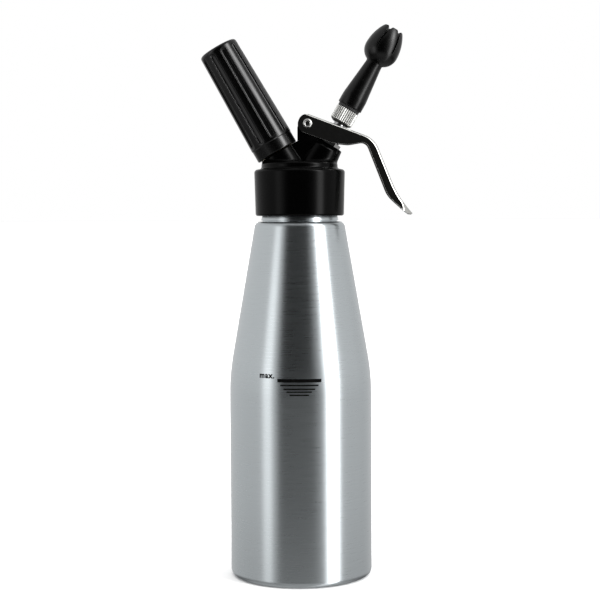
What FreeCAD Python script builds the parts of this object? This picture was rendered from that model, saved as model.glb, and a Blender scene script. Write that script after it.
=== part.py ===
import FreeCAD, Part
import math
import os
import re
import Sketcher

# Whipped cream dispenser: an aluminium bottle with a screwed head. The head carries a sprung
# dispensing valve under a lever, and a port on which the charger holder screws a gas charger down.
# Origin: centre of the flat base. +Z is up the bottle, +X points to the lever's side.

SIZES = {
    # bottle
    "bottle_radius": (47.5, "outer radius of the straight body"),
    "bottle_wall": (1.6, "wall of the body and the cone"),
    "base_thickness": (2.4, "thickness of the flat base"),
    "base_edge": (4.0, "rounding of the base's outer edge"),
    "bend_height": (135.4, "where the body's line meets the cone's line"),
    "bend_radius": (150.0, "soft bend from body to cone"),
    "cone_slope": (9.86, "degrees from vertical"),
    "shoulder_height": (237.6, "flat top of the shoulder"),
    "shoulder_radius": (4.0, "rounding of the shoulder"),
    "neck_groove_width": (0.6, "narrow groove over the shoulder"),
    "neck_groove_depth": (0.9, "depth of that groove under the neck ring"),
    "neck_ring_radius": (25.9, "tapered ring at the foot of the neck"),
    "neck_ring_height": (4.0, "height of the tapered ring"),
    "neck_ring_step": (0.5, "small cone between that ring and the neck"),
    "neck_radius": (24.4, "root of the neck's thread"),
    "neck_height": (24.4, "shoulder to rim"),
    "mouth_radius": (21.6, "clear bore of the neck"),
    "rim_rounding": (0.5, "rounding of the rim's edges"),
    # bottle and head thread
    "thread_pitch": (4.0, "rise per turn"),
    "thread_depth": (1.0, "height of the thread's ridge"),
    "thread_foot": (2.2, "width of the ridge at its foot"),
    "thread_crest": (1.2, "width of the ridge at its crest"),
    "thread_play": (0.35, "radial play between crest and root"),
    "neck_turns": (3.0, "turns on the neck"),
    "collar_turns": (2.0, "turns in the collar"),
    "thread_lead_in": (2.6, "plain neck above the last turn"),
    "thread_sink": (0.15, "foot of a ridge inside the wall that it stands on"),
    "cut_past": (1.0, "how far a cut runs past the face that it opens"),
    # head
    "contact_gap": (0.03, "gap between faces that press on each other"),
    "gasket_thickness": (2.5, "head gasket"),
    "gasket_margin": (0.4, "gasket edge to the walls beside it"),
    "gasket_edge": (0.4, "rounding of the gasket"),
    "ring_edge": (0.15, "rounding of the small seal rings"),
    "collar_skirt": (20.6, "collar below the bottle's rim"),
    "collar_height": (30.9, "whole height of the collar"),
    "collar_foot_radius": (29.5, "outer radius at the collar's foot"),
    "collar_top_radius": (30.3, "outer radius at the collar's top"),
    "collar_foot_edge": (1.5, "rounding of the collar's lower edge"),
    "collar_top_edge": (2.2, "rounding of the collar's upper edge"),
    "recess_radius": (19.5, "recess over the bottle's mouth"),
    "recess_depth": (2.4, "depth of the recess above the gasket seat"),
    "crown_radius": (25.4, "low crown on the collar"),
    "crown_height": (4.6, "crown above the collar"),
    "crown_edge": (1.8, "rounding of the crown's edge"),
    "boss_blend": (3.0, "fillet where the bosses leave the crown"),
    # dispensing valve, measured along its own axis from where it crosses the bottle's axis
    "valve_drop": (16.7, "collar's top down to where the valve axis crosses the bottle's axis"),
    "valve_tilt": (30.0, "degrees from vertical, towards +X"),
    "boss_mouth": (38.6, "face of the valve boss"),
    "boss_mouth_radius": (10.2, "outer radius of the boss at its face"),
    "boss_taper": (7.2, "degrees"),
    "boss_edge": (0.8, "rounding of the boss's face"),
    "boss_foot": (6.0, "where the boss starts inside the head"),
    "running_gap": (0.05, "radial play of a sliding or turning fit"),
    "seat_depth": (20.6, "boss's face down to the valve seat"),
    "seat_pocket_radius": (7.0, "pocket in which the poppet moves"),
    "pocket_start": (4.0, "start of the pockets, below the ceiling"),
    "stem_radius": (4.5, "sliding part of the stem"),
    "stem_waist_radius": (3.0, "flow zone of the stem"),
    "stem_waist_length": (7.0, "flow zone above the seat"),
    "stem_tail_radius": (2.4, "stem inside the poppet"),
    "stem_tail_end": (0.4, "stem's lower end below the poppet"),
    "stem_edge": (0.4, "rounding of the stem's ends"),
    "stem_bore_radius": (1.9, "cream passage"),
    "stem_bore_floor": (2.2, "seat to the closed end of the passage"),
    "stem_port_radius": (1.3, "cross holes into the passage"),
    "stem_port_rise": (4.0, "seat to the middle of the cross holes"),
    "stem_top_radius": (4.0, "threaded top of the stem"),
    "stem_top_length": (12.7, "threaded top of the stem"),
    "oring_rise": (11.5, "seat to the middle of the stem's O-ring"),
    "oring_section": (0.7, "radius of the O-ring's section"),
    "oring_groove_width": (2.2, "groove of the O-ring"),
    "poppet_radius": (6.0, "brass poppet"),
    "poppet_thickness": (3.0, "poppet"),
    "poppet_edge": (0.4, "rounding of the poppet"),
    "seal_thickness": (1.94, "rubber seal on the poppet"),
    "seal_edge": (0.2, "rounding of that seal"),
    "seal_radius": (6.2, "rubber seal on the poppet"),
    "gland_radius": (6.45, "gland nut inside the boss"),
    "gland_depth": (4.8, "length of the gland nut inside the boss"),
    "gland_hex": (14.0, "across flats"),
    "gland_head": (2.4, "height of the hexagon"),
    "gland_edge": (0.3, "rounding of the gland nut's lower end"),
    "spring_wire": (0.5, "radius of the spring's wire"),
    "spring_radius": (5.8, "mean radius of the spring"),
    "spring_turns": (3.0, "turns of the spring"),
    "spring_space": (7.3, "gland nut's head to the stem's step, which carries the thrust ring"),
    "thrust_radius": (7.0, "thrust ring under the lever"),
    "thrust_dome": (9.2, "radius of the ring's domed face"),
    # nozzle adapter and decorator nozzle, on the valve axis
    "adapter_gap": (5.7, "stem's step to the adapter, with room for the lever's web"),
    "adapter_length": (10.9, "knurled part"),
    "adapter_radius": (7.8, "knurled part"),
    "adapter_chamfer": (2.0, "cone at the adapter's lower end"),
    "adapter_edge": (0.4, "edge at the adapter's upper end"),
    "adapter_bore": (2.6, "passage above the stem"),
    "adapter_seal_thickness": (1.04, "washer over the stem's end"),
    "stud_radius": (5.0, "root of the stud's thread"),
    "stud_length": (9.0, "stud above the knurled part"),
    "stud_pitch": (2.0, "rise per turn"),
    "stud_turns": (2.5, "turns on the stud"),
    "stud_depth": (0.6, "height of the stud's ridge"),
    "stud_foot": (1.1, "width of the ridge at its foot"),
    "stud_crest": (0.5, "width of the ridge at its crest"),
    "stud_play": (0.25, "radial play between crest and root"),
    "nozzle_seal_thickness": (2.0, "seal ring between adapter and nozzle"),
    "nozzle_seal_radius": (7.5, "outer radius of that ring"),
    "nozzle_foot_radius": (8.45, "foot of the decorator nozzle"),
    "nozzle_foot_length": (7.0, "straight foot"),
    "nozzle_foot_edge": (0.6, "rounding of the foot"),
    "nozzle_neck_radius": (5.7, "narrowest part"),
    "nozzle_neck_length": (33.44, "foot to where the tulip meets the neck"),
    "nozzle_neck_overlap": (2.0, "end of the neck's taper below the tulip"),
    "nozzle_socket": (9.6, "depth of the threaded socket"),
    "nozzle_bore": (2.9, "passage through the neck"),
    "tulip_radius": (11.6, "widest part"),
    "tulip_base": (9.1, "neck to the widest part"),
    "tulip_belly": (9.75, "arc below the widest part"),
    "tulip_petal_arc": (30.6, "arc above the widest part"),
    "tulip_rise": (16.8, "widest part to the petal tips"),
    "tulip_wall": (1.9, "thickness of the petals"),
    "petal_count": (6, "petals"),
    "slit_rise": (4.0, "widest part to the lower end of the slits"),
    "slit_width": (1.9, "slit at the petal tips"),
    "slit_foot_width": (0.7, "slit at its lower end"),
    "tip_relief": (2.2, "bevel of each petal's corners"),
    "slit_edge": (0.3, "rounding of the slits' lower ends"),
    "slit_turn": (38.0, "degrees from the front to the first slit"),
    # lever, in its own frame: origin at the pivot, X along the web, Z square to the web
    "pivot_arm": (18.73, "valve axis to pivot"),
    "pivot_rise": (4.75, "pivot beyond the boss's face, along the valve axis"),
    "lever_slope": (20.6, "degrees the web slopes down at rest"),
    "lever_thickness": (1.2, "sheet"),
    "lever_width": (17.2, "outer width of the channel"),
    "lever_edge": (2.4, "rounding between web and flanges"),
    "web_rise": (6.0, "web above the pivot"),
    "flange_drop": (6.4, "flange below the pivot"),
    "lever_nose": (6.3, "lever behind the pivot"),
    "flange_run": (19.5, "straight part of the flange's lower edge"),
    "flange_dip": (30.6, "where the flange's edge rises to the bend"),
    "flange_dip_drop": (3.6, "flange below the pivot at that place"),
    "bend_reach": (45.13, "corner between web and tail"),
    "lever_bend": (16.0, "outer radius of that corner"),
    "tail_slope": (47.3, "degrees between web and tail"),
    "tail_depth": (5.5, "depth of the tail's channel"),
    "armpit_radius": (5.0, "rounding under the bend"),
    "tail_run": (28.57, "bend to the corner between tail and thumb tip, along the web's line"),
    "flare_radius": (55.0, "outer radius of that corner"),
    "flare_slope": (26.0, "degrees between web and thumb tip"),
    "tip_run": (12.8, "that corner to the end of the thumb tip"),
    "tip_plain": (5.0, "flat end of the thumb tip beyond the flanges"),
    "tip_rounding": (6.5, "rounding of the thumb tip in plan"),
    "slot_back": (5.43, "valve axis to the stem slot's end next to the pivot"),
    "slot_front": (6.87, "valve axis to the stem slot's far end"),
    "slot_width": (10.0, "width of the stem slot"),
    "side_gap": (0.2, "play between the lug and each flange"),
    "lug_back": (6.8, "lug behind the pivot"),
    "lug_nose": (4.4, "rounding of the lug over the pivot"),
    "lug_front_gap": (9.0, "lug's front face to the valve axis"),
    "flat_depth": (2.5, "flats for the lever's flanges beside the boss, below its face"),
    "pin_radius": (2.0, "shank of the lever's rivet"),
    "pin_head_radius": (3.4, "head of the rivet"),
    "pin_head_height": (0.9, "height of the rivet's head"),
    "pin_hollow_radius": (1.7, "hollow end of the rivet"),
    "pin_hollow_depth": (0.7, "depth of the hollow end"),
    # charger port, charger and holder, measured along the holder's axis from where it crosses
    "holder_drop": (14.02, "collar's top down to where the holder axis crosses the bottle's axis"),
    "holder_tilt": (29.8, "degrees from vertical, towards -X"),
    "port_face": (29.1, "face of the port boss"),
    "port_boss_radius": (12.6, "port boss at its face"),
    "port_boss_taper": (4.0, "degrees"),
    "port_boss_foot": (6.0, "where the port boss starts inside the head"),
    "port_pocket_radius": (5.6, "pocket round the check valve"),
    "port_shelf": (1.5, "shelf between that pocket and the port fitting"),
    "gusset_reach": (6.3, "foot of the gusset between lug and port boss, from the holder axis"),
    "shank_radius": (7.0, "port fitting inside the boss"),
    "shank_length": (13.1, "port fitting below the boss's face"),
    "shank_edge": (0.4, "rounding of the shank's lower end"),
    "port_seal_thickness": (1.0, "ring under the port fitting"),
    "spigot_radius": (3.2, "lower end of the port fitting"),
    "spigot_length": (7.0, "spigot below the shank's shelf"),
    "spigot_edge": (0.6, "rounding of the spigot's end"),
    "gas_bore": (1.2, "gas passage"),
    "spigot_floor": (1.3, "closed end of the gas passage above the spigot's end"),
    "gas_port_rise": (3.2, "spigot's end to the cross holes under the sleeve"),
    "gas_port_radius": (0.8, "cross holes"),
    "sleeve_rise": (1.2, "spigot's end to the check valve's sleeve"),
    "sleeve_edge": (0.3, "rounding of the sleeve"),
    "sleeve_length": (4.0, "check valve's sleeve"),
    "sleeve_wall": (1.0, "check valve's sleeve"),
    "stub_radius": (9.9, "root of the port's thread"),
    "stub_length": (15.1, "threaded stub above the boss's face"),
    "stub_edge": (0.8, "rounding of the stub's upper end"),
    "stub_pitch": (3.0, "rise per turn"),
    "stub_turns": (3.0, "turns on the stub"),
    "stub_depth": (0.9, "height of the stub's ridge"),
    "stub_foot": (1.6, "width of the ridge at its foot"),
    "stub_crest": (0.8, "width of the ridge at its crest"),
    "stub_play": (0.3, "radial play between crest and root"),
    "stub_lead_in": (2.0, "plain stub above the last turn"),
    "socket_radius": (5.2, "socket for the charger's neck"),
    "socket_depth": (10.2, "depth of the socket"),
    "needle_shank_length": (4.0, "pin's shank below its flange"),
    "needle_shank_radius": (2.4, "pin's shank"),
    "needle_flange_depth": (3.0, "underside of the pin's flange below the socket's floor"),
    "needle_edge": (0.3, "rounding of the pin's shank and flange"),
    "needle_flange_radius": (3.3, "pin's flange"),
    "needle_radius": (1.0, "needle"),
    "needle_reach": (5.2, "tip of the needle above the socket's floor"),
    "needle_point": (1.6, "length of the needle's cone"),
    "needle_bore": (0.35, "gas passage through the needle"),
    "needle_lip": (0.1, "wall of the needle at its tip"),
    "charger_seal_thickness": (2.0, "washer round the needle"),
    "charger_length": (65.5, "gas charger, mouth to base"),
    "charger_radius": (9.3, "gas charger's body"),
    "charger_wall": (1.5, "gas charger's wall"),
    "charger_neck_radius": (4.4, "gas charger's neck"),
    "charger_neck_length": (8.4, "gas charger's neck"),
    "charger_shoulder": (6.2, "height of the gas charger's shoulder"),
    "charger_mouth_radius": (2.2, "opening in the gas charger's neck"),
    "charger_mouth_edge": (0.3, "rounding of that opening"),
    "charger_neck_edge": (0.6, "rounding of the neck's end"),
    "cap_depth": (0.6, "charger's mouth to its sealing cap"),
    "cap_thickness": (0.4, "charger's sealing cap"),
    "holder_gap": (0.3, "port boss's face to the holder's foot"),
    "holder_roof": (8.01, "charger's base to the holder's top"),
    "holder_foot_radius": (14.5, "smooth band at the holder's foot"),
    "holder_band": (8.4, "height of the smooth band"),
    "holder_band_step": (0.5, "short cone between the band and the ribs"),
    "holder_rib_radius": (14.8, "ribs at the holder's foot"),
    "holder_top_radius": (13.25, "ribs at the holder's top"),
    "holder_foot_edge": (0.9, "rounding of the holder's foot"),
    "holder_top_edge": (3.0, "rounding of the holder's top"),
    "holder_dome": (0.7, "rise of the domed top"),
    "liner_radius": (12.3, "threaded liner in the holder"),
    "liner_length": (16.0, "threaded liner"),
    "liner_inset": (0.3, "liner's end inside the holder's foot"),
    "liner_edge": (0.2, "rounding of the liner"),
    "liner_turns": (2.5, "turns in the liner"),
    "holder_bore_gap": (0.35, "radial play round the charger"),
    "flute_count": (10, "flutes round the holder"),
    "flute_width": (4.3, "width of a flute"),
    "flute_depth": (1.25, "depth of a flute below the ribs"),
    "flute_foot": (9.4, "lower end of the flutes above the holder's foot"),
    "flute_top_gap": (3.4, "upper end of the flutes below the holder's top"),
    "flute_turn": (11.0, "degrees from the front to the first flute"),
}

doc = FreeCAD.newDocument("CreamDispenser")
sheet = doc.addObject("Spreadsheet::Sheet", "Sizes")
for row, (alias, (value, meaning)) in enumerate(SIZES.items(), start=1):
    sheet.set(f"A{row}", alias)
    sheet.set(f"B{row}", str(value))
    sheet.set(f"C{row}", meaning)
    sheet.setAlias(f"B{row}", alias)
doc.recompute()


# Places that are closer than this, in mm, count as one when edges are picked.
TOUCH = 0.01


# ---------------------------------------------------------------------------------------------
# Helpers. A size expression is text such as "neck_radius + thread_depth", in the sheet's words.

def full(expression):
    """The expression with each of the sheet's words written as a reference to its cell."""
    return re.sub(r"[a-z]+(?:_[a-z]+)+", lambda word: "Sizes." + word.group(), expression)


def size(expression):
    """The value of a size expression."""
    return float(sheet.evalExpression(full(expression)))


def bind(thing, path, expression):
    """Tie a property or a constraint of a thing to a size expression."""
    thing.setExpression(path, full(expression))


def new_body(label, height="0", tilt="0", x="0", spin=None):
    """A body whose own Z axis starts at a height on the bottle's axis and tilts about Y.

    A spin turns the body about that Z axis first. Both turns together are one turn about an axis
    whose parts are products of the half angles' sines and cosines.
    """
    body = doc.addObject("PartDesign::Body", label)
    body.Label = label
    turn = FreeCAD.Rotation(FreeCAD.Vector(0, 1, 0), size(tilt))
    if spin is not None:
        turn = turn.multiply(FreeCAD.Rotation(FreeCAD.Vector(0, 0, 1), size(spin)))
    body.Placement = FreeCAD.Placement(FreeCAD.Vector(size(x), 0, size(height)), turn)
    bind(body, "Placement.Base.x", x)
    bind(body, "Placement.Base.z", height)
    if spin is None:
        bind(body, "Placement.Rotation.Angle", tilt)
        return body
    half_tilt, half_spin = f"(({tilt}) / 2)", f"(({spin}) / 2)"
    bind(body, "Placement.Rotation.Axis.x", f"sin({half_tilt}) * sin({half_spin})")
    bind(body, "Placement.Rotation.Axis.y", f"sin({half_tilt}) * cos({half_spin})")
    bind(body, "Placement.Rotation.Axis.z", f"cos({half_tilt}) * sin({half_spin})")
    bind(body, "Placement.Rotation.Angle", f"2 * acos(cos({half_tilt}) * cos({half_spin}))")
    return body


def new_sketch(body, role="XZ_Plane", height="0", turn="0", depth="0"):
    """An empty sketch on a plane of the body, turned in that plane and raised along it."""
    plane = next(item for item in body.Origin.OriginFeatures if item.Role == role)
    sketch = body.newObject("Sketcher::SketchObject", body.Label + "_sketch")
    sketch.AttachmentSupport = (plane, "")
    sketch.MapMode = "FlatFace"
    sketch.AttachmentOffset = FreeCAD.Placement(
        FreeCAD.Vector(0, size(height), size(depth)),
        FreeCAD.Rotation(FreeCAD.Vector(0, 0, 1), size(turn)))
    bind(sketch, "AttachmentOffset.Base.y", height)
    bind(sketch, "AttachmentOffset.Base.z", depth)
    bind(sketch, "AttachmentOffset.Rotation.Angle", turn)
    return sketch


def pin_down(sketch, geometry, end, x, y):
    """Fix a point of the sketch to the place that two size expressions give."""
    for text, kind, axis in ((x, "DistanceX", -2), (y, "DistanceY", -1)):
        if text == "0":
            sketch.addConstraint(Sketcher.Constraint("PointOnObject", geometry, end, axis))
        else:
            index = sketch.addConstraint(Sketcher.Constraint(kind, -1, 1, geometry, end, size(text)))
            bind(sketch, f"Constraints[{index}]", text)


def draw_outline(sketch, corners):
    """A closed outline. Each corner is (x, y) or (x, y, rounding), as size expressions."""
    places = [FreeCAD.Vector(size(corner[0]), size(corner[1]), 0) for corner in corners]
    count = len(corners)
    leave, arrive, arcs = {}, {}, {}
    for i, corner in enumerate(corners):
        back = (places[i - 1] - places[i]).normalize()
        ahead = (places[(i + 1) % count] - places[i]).normalize()
        leave[i] = arrive[i] = places[i]
        if len(corner) == 3:
            radius = size(corner[2])
            half = back.getAngle(ahead) / 2
            arrive[i] = places[i] + back * (radius / math.tan(half))
            leave[i] = places[i] + ahead * (radius / math.tan(half))
            middle = places[i] + (back + ahead).normalize() * (radius / math.sin(half))
            left_turn = back.cross(ahead).z < 0
            first, last = (arrive[i], leave[i]) if left_turn else (leave[i], arrive[i])
            angles = [math.atan2(p.y - middle.y, p.x - middle.x) for p in (first, last)]
            circle = Part.Circle(middle, FreeCAD.Vector(0, 0, 1), radius)
            arcs[i] = (Part.ArcOfCircle(circle, *angles), 1 if left_turn else 2)
    lines = [sketch.addGeometry(Part.LineSegment(leave[i], arrive[(i + 1) % count]), False)
             for i in range(count)]
    for i, corner in enumerate(corners):
        line_in, line_out = lines[i - 1], lines[i]
        if len(corner) == 2:
            sketch.addConstraint(Sketcher.Constraint("Coincident", line_in, 2, line_out, 1))
            pin_down(sketch, line_out, 1, corner[0], corner[1])
            continue
        shape, start = arcs[i]
        arc = sketch.addGeometry(shape, False)
        mark = sketch.addGeometry(Part.Point(places[i]), True)
        sketch.addConstraint([
            Sketcher.Constraint("PointOnObject", mark, 1, line_in),
            Sketcher.Constraint("PointOnObject", mark, 1, line_out),
            Sketcher.Constraint("Tangent", line_in, 2, arc, start),
            Sketcher.Constraint("Tangent", arc, 3 - start, line_out, 1)])
        pin_down(sketch, mark, 1, corner[0], corner[1])
        index = sketch.addConstraint(Sketcher.Constraint("Radius", arc, size(corner[2])))
        bind(sketch, f"Constraints[{index}]", corner[2])


def draw_circle(sketch, x, y, radius):
    """A circle at a place, all as size expressions."""
    circle = Part.Circle(FreeCAD.Vector(size(x), size(y), 0), FreeCAD.Vector(0, 0, 1), size(radius))
    index = sketch.addGeometry(circle, False)
    pin_down(sketch, index, 3, x, y)
    index = sketch.addConstraint(Sketcher.Constraint("Radius", index, size(radius)))
    bind(sketch, f"Constraints[{index}]", radius)


def turn_round(body, corners, cut=False, height="0", turn="0"):
    """Revolve an outline of (radius, height) corners about the sketch's upright axis."""
    sketch = new_sketch(body, height=height, turn=turn)
    draw_outline(sketch, corners)
    kind = "PartDesign::Groove" if cut else "PartDesign::Revolution"
    feature = body.newObject(kind, body.Label + "_turned")
    feature.Profile = sketch
    feature.ReferenceAxis = (sketch, ["V_Axis"])
    feature.Angle = 360
    return feature


def extrude(body, sketch, length, cut=False, both_sides=True, reverse=False):
    """Pad or pocket a sketch by a length."""
    kind = "PartDesign::Pocket" if cut else "PartDesign::Pad"
    feature = body.newObject(kind, body.Label + "_extruded")
    feature.Profile = sketch
    feature.SideType = "Symmetric" if both_sides else "One side"
    bind(feature, "Length", length)
    feature.Reversed = reverse
    return feature


def add_thread(body, root, start, pitch, turns, foot, crest, depth):
    """A helical ridge. It stands out of radius root by depth, or inwards where depth starts with a minus."""
    sink = "+ thread_sink" if depth.startswith("-") else "- thread_sink"
    sketch = new_sketch(body)
    draw_outline(sketch, [
        (f"{root} {sink}", f"{start} - ({foot}) / 2"),
        (f"{root} + ({depth})", f"{start} - ({crest}) / 2"),
        (f"{root} + ({depth})", f"{start} + ({crest}) / 2"),
        (f"{root} {sink}", f"{start} + ({foot}) / 2")])
    helix = body.newObject("PartDesign::AdditiveHelix", body.Label + "_thread")
    helix.Profile = sketch
    helix.ReferenceAxis = (sketch, ["V_Axis"])
    helix.Mode = "pitch-turns-angle"
    bind(helix, "Pitch", pitch)
    bind(helix, "Turns", turns)
    helix.Angle = 0
    return helix


def round_edges(body, names, radius):
    """Fillet the named edges of what the body holds so far."""
    base = body.Tip
    fillet = body.newObject("PartDesign::Fillet", body.Label + "_rounding")
    fillet.Base = (base, names)
    bind(fillet, "Radius", radius)
    return fillet


def repeat_round(body, feature, count):
    """Repeat a feature round the body's Z axis."""
    pattern = body.newObject("PartDesign::PolarPattern", body.Label + "_pattern")
    pattern.Originals = [feature]
    axis = next(item for item in body.Origin.OriginFeatures if item.Role == "Z_Axis")
    pattern.Axis = (axis, [""])
    pattern.Angle = 360
    bind(pattern, "Occurrences", count)
    body.Tip = pattern
    return pattern


def ring(label, axis, inner, outer, start, thickness, rounding="ring_edge"):
    """A flat ring on one of the axes, with softly rounded edges."""
    body = new_body(label, **axis)
    turn_round(body, [
        (inner, start, rounding), (outer, start, rounding),
        (outer, f"{start} + {thickness}", rounding), (inner, f"{start} + {thickness}", rounding)])
    return body


RIM = "(shoulder_height + neck_height)"
GASKET_SEAT = f"({RIM} + gasket_thickness + 2 * contact_gap)"
COLLAR_FOOT = f"({RIM} - collar_skirt)"
COLLAR_TOP = f"({COLLAR_FOOT} + collar_height)"
COLLAR_BORE = "(neck_radius + thread_depth + thread_play)"
CEILING = f"({GASKET_SEAT} + recess_depth)"
NECK_THREAD_TOP = f"({RIM} - thread_lead_in - thread_foot / 2)"
NECK_THREAD_START = f"({NECK_THREAD_TOP} - neck_turns * thread_pitch)"
VALVE_CROSS = f"({COLLAR_TOP} - valve_drop)"
HOLDER_CROSS = f"({COLLAR_TOP} - holder_drop)"

# along the valve axis, from where it crosses the bottle's axis
SEAT = "(boss_mouth - seat_depth)"
POPPET_START = f"({SEAT} - 2 * contact_gap - seal_thickness - poppet_thickness)"
ORING_HEIGHT = f"({SEAT} + oring_rise)"
STEM_STEP = "(boss_mouth + gland_head + spring_space)"
STEM_TOP = f"({STEM_STEP} + stem_top_length)"
ADAPTER_START = f"({STEM_STEP} + adapter_gap)"
ADAPTER_TOP = f"({ADAPTER_START} + adapter_length)"
ADAPTER_SHELF = f"({STEM_TOP} + 2 * contact_gap + adapter_seal_thickness)"
STUD_TOP = f"({ADAPTER_TOP} + stud_length)"
STUD_THREAD_START = f"({STUD_TOP} - stud_crest - stud_foot - stud_turns * stud_pitch)"
NOZZLE_START = f"({ADAPTER_TOP} + nozzle_seal_thickness + 2 * contact_gap)"
NECK_END = f"({NOZZLE_START} + nozzle_neck_length)"
TULIP_EQUATOR = f"({NECK_END} + tulip_base)"
TULIP_TOP = f"({TULIP_EQUATOR} + tulip_rise)"

# the lever's pivot: along the valve axis, and in the part's frame
PIVOT_REACH = "(boss_mouth + pivot_rise)"
PIVOT_X = f"({PIVOT_REACH} * sin(valve_tilt) - pivot_arm * cos(valve_tilt))"
PIVOT_Z = f"({VALVE_CROSS} + {PIVOT_REACH} * cos(valve_tilt) + pivot_arm * sin(valve_tilt))"
LUG_HALF = "(lever_width / 2 - lever_thickness - side_gap)"

# along the holder's axis, from where it crosses the bottle's axis
SHANK_START = "(port_face - shank_length)"
SPIGOT_START = f"({SHANK_START} - spigot_length)"
STUB_TOP = "(port_face + stub_length)"
STUB_THREAD_START = f"({STUB_TOP} - stub_lead_in - stub_foot / 2 - stub_turns * stub_pitch)"
SOCKET_FLOOR = f"({STUB_TOP} - socket_depth)"
NEEDLE_FLANGE = f"({SOCKET_FLOOR} - needle_flange_depth)"
NEEDLE_SEAT = f"({NEEDLE_FLANGE} - needle_shank_length)"
NEEDLE_TOP = f"({SOCKET_FLOOR} + needle_reach)"
CHARGER_MOUTH = f"({SOCKET_FLOOR} + charger_seal_thickness + 2 * contact_gap)"
HOLDER_START = "(port_face + holder_gap)"
HOLDER_TOP = f"({CHARGER_MOUTH} + charger_length + contact_gap + holder_roof)"
HOLDER_LENGTH = f"({HOLDER_TOP} - {HOLDER_START})"

VALVE = {"height": VALVE_CROSS, "tilt": "valve_tilt"}
HOLDER = {"height": HOLDER_CROSS, "tilt": "-holder_tilt"}
ON_VALVE_AXIS = {"height": VALVE_CROSS, "turn": "-valve_tilt"}
ON_HOLDER_AXIS = {"height": HOLDER_CROSS, "turn": "holder_tilt"}


# ---------------------------------------------------------------------------------------------
# Bottle

def make_bottle():
    """Thin-walled bottle: straight body, long cone, narrow groove and ring, threaded neck."""
    body = new_body("bottle")
    cone_at = "(bottle_radius - ({0} - bend_height) * tan(cone_slope))"
    skin = "(bottle_wall / cos(cone_slope))"
    inside_top = "(shoulder_height - 1.6 * bottle_wall)"
    groove = "(neck_ring_radius - neck_groove_depth)"
    groove_top = "(shoulder_height + neck_groove_width)"
    bend_inside = "(bend_height - bottle_wall * tan(cone_slope / 2))"
    turn_round(body, [
        ("0", "0"),
        ("bottle_radius", "0", "base_edge"),
        ("bottle_radius", "bend_height", "bend_radius"),
        (cone_at.format("shoulder_height"), "shoulder_height", "shoulder_radius"),
        (groove, "shoulder_height"),
        (groove, groove_top),
        ("neck_ring_radius", groove_top),
        ("neck_radius + neck_ring_step", f"{groove_top} + neck_ring_height"),
        ("neck_radius", f"{groove_top} + neck_ring_height + neck_ring_step"),
        ("neck_radius", RIM, "rim_rounding"),
        ("mouth_radius", RIM, "rim_rounding"),
        ("mouth_radius", inside_top, "shoulder_radius / 2"),
        (f"{cone_at.format(inside_top)} - {skin}", inside_top, "shoulder_radius / 2"),
        ("bottle_radius - bottle_wall", bend_inside, "bend_radius"),
        ("bottle_radius - bottle_wall", "base_thickness", "base_edge - bottle_wall"),
        ("0", "base_thickness")])
    add_thread(body, "neck_radius", NECK_THREAD_START, "thread_pitch", "neck_turns",
               "thread_foot", "thread_crest", "thread_depth")
    return body


# ---------------------------------------------------------------------------------------------
# Head

def make_head_gasket():
    """Rubber ring between the bottle's rim and the head's seat."""
    return ring("head_gasket", {}, "mouth_radius - gasket_margin", f"{COLLAR_BORE} - gasket_margin",
                f"{RIM} + contact_gap", "gasket_thickness", "gasket_edge")


def make_head():
    """Head casting: threaded collar, crown, valve boss, port boss and the lever's lug."""
    body = new_body("head")
    turn_round(body, [
        ("0", COLLAR_FOOT),
        ("collar_foot_radius", COLLAR_FOOT, "collar_foot_edge"),
        ("collar_top_radius", COLLAR_TOP, "collar_top_edge"),
        ("crown_radius", COLLAR_TOP, "crown_edge"),
        ("crown_radius", f"{COLLAR_TOP} + crown_height", "crown_edge"),
        ("0", f"{COLLAR_TOP} + crown_height")])
    turn_round(body, [
        ("0", "boss_foot"),
        ("boss_mouth_radius + (boss_mouth - boss_foot) * tan(boss_taper)", "boss_foot"),
        ("boss_mouth_radius", "boss_mouth", "boss_edge"),
        ("0", "boss_mouth")], **ON_VALVE_AXIS)
    turn_round(body, [
        ("0", "port_boss_foot"),
        ("port_boss_radius + (port_face - port_boss_foot) * tan(port_boss_taper)", "port_boss_foot"),
        ("port_boss_radius", "port_face", "boss_edge"),
        ("0", "port_face")], **ON_HOLDER_AXIS)
    add_lug(body)
    doc.recompute()
    blend_bosses(body)
    cut_head(body)
    return body


def add_lug(body):
    """The lug between the lever's flanges carries the rivet. A gusset joins it to the port boss."""
    lug = new_sketch(body)
    back = f"({PIVOT_X} - lug_back)"
    face_height = f"({HOLDER_CROSS} + port_face / cos(holder_tilt) + {{0}} * tan(holder_tilt))"
    gusset = "(gusset_reach * cos(holder_tilt) - port_face * sin(holder_tilt))"
    front = "(boss_mouth * sin(valve_tilt) - lug_front_gap * cos(valve_tilt))"
    front_height = f"({VALVE_CROSS} + boss_mouth * cos(valve_tilt) + lug_front_gap * sin(valve_tilt))"
    draw_outline(lug, [
        (back, face_height.format(back)),
        (gusset, face_height.format(gusset)),
        (gusset, COLLAR_TOP),
        (front, COLLAR_TOP),
        (front, front_height),
        (f"{PIVOT_X} + 0.8 * lug_nose", f"{PIVOT_Z} + 0.55 * lug_nose"),
        (f"{PIVOT_X} - 0.75 * lug_nose", f"{PIVOT_Z} + 0.6 * lug_nose"),
        (back, f"{PIVOT_Z} - lug_nose / 2", "lug_nose / 2")])
    extrude(body, lug, f"2 * {LUG_HALF}")
    nose = new_sketch(body)
    draw_circle(nose, PIVOT_X, PIVOT_Z, "lug_nose")
    extrude(body, nose, f"2 * {LUG_HALF}")


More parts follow.
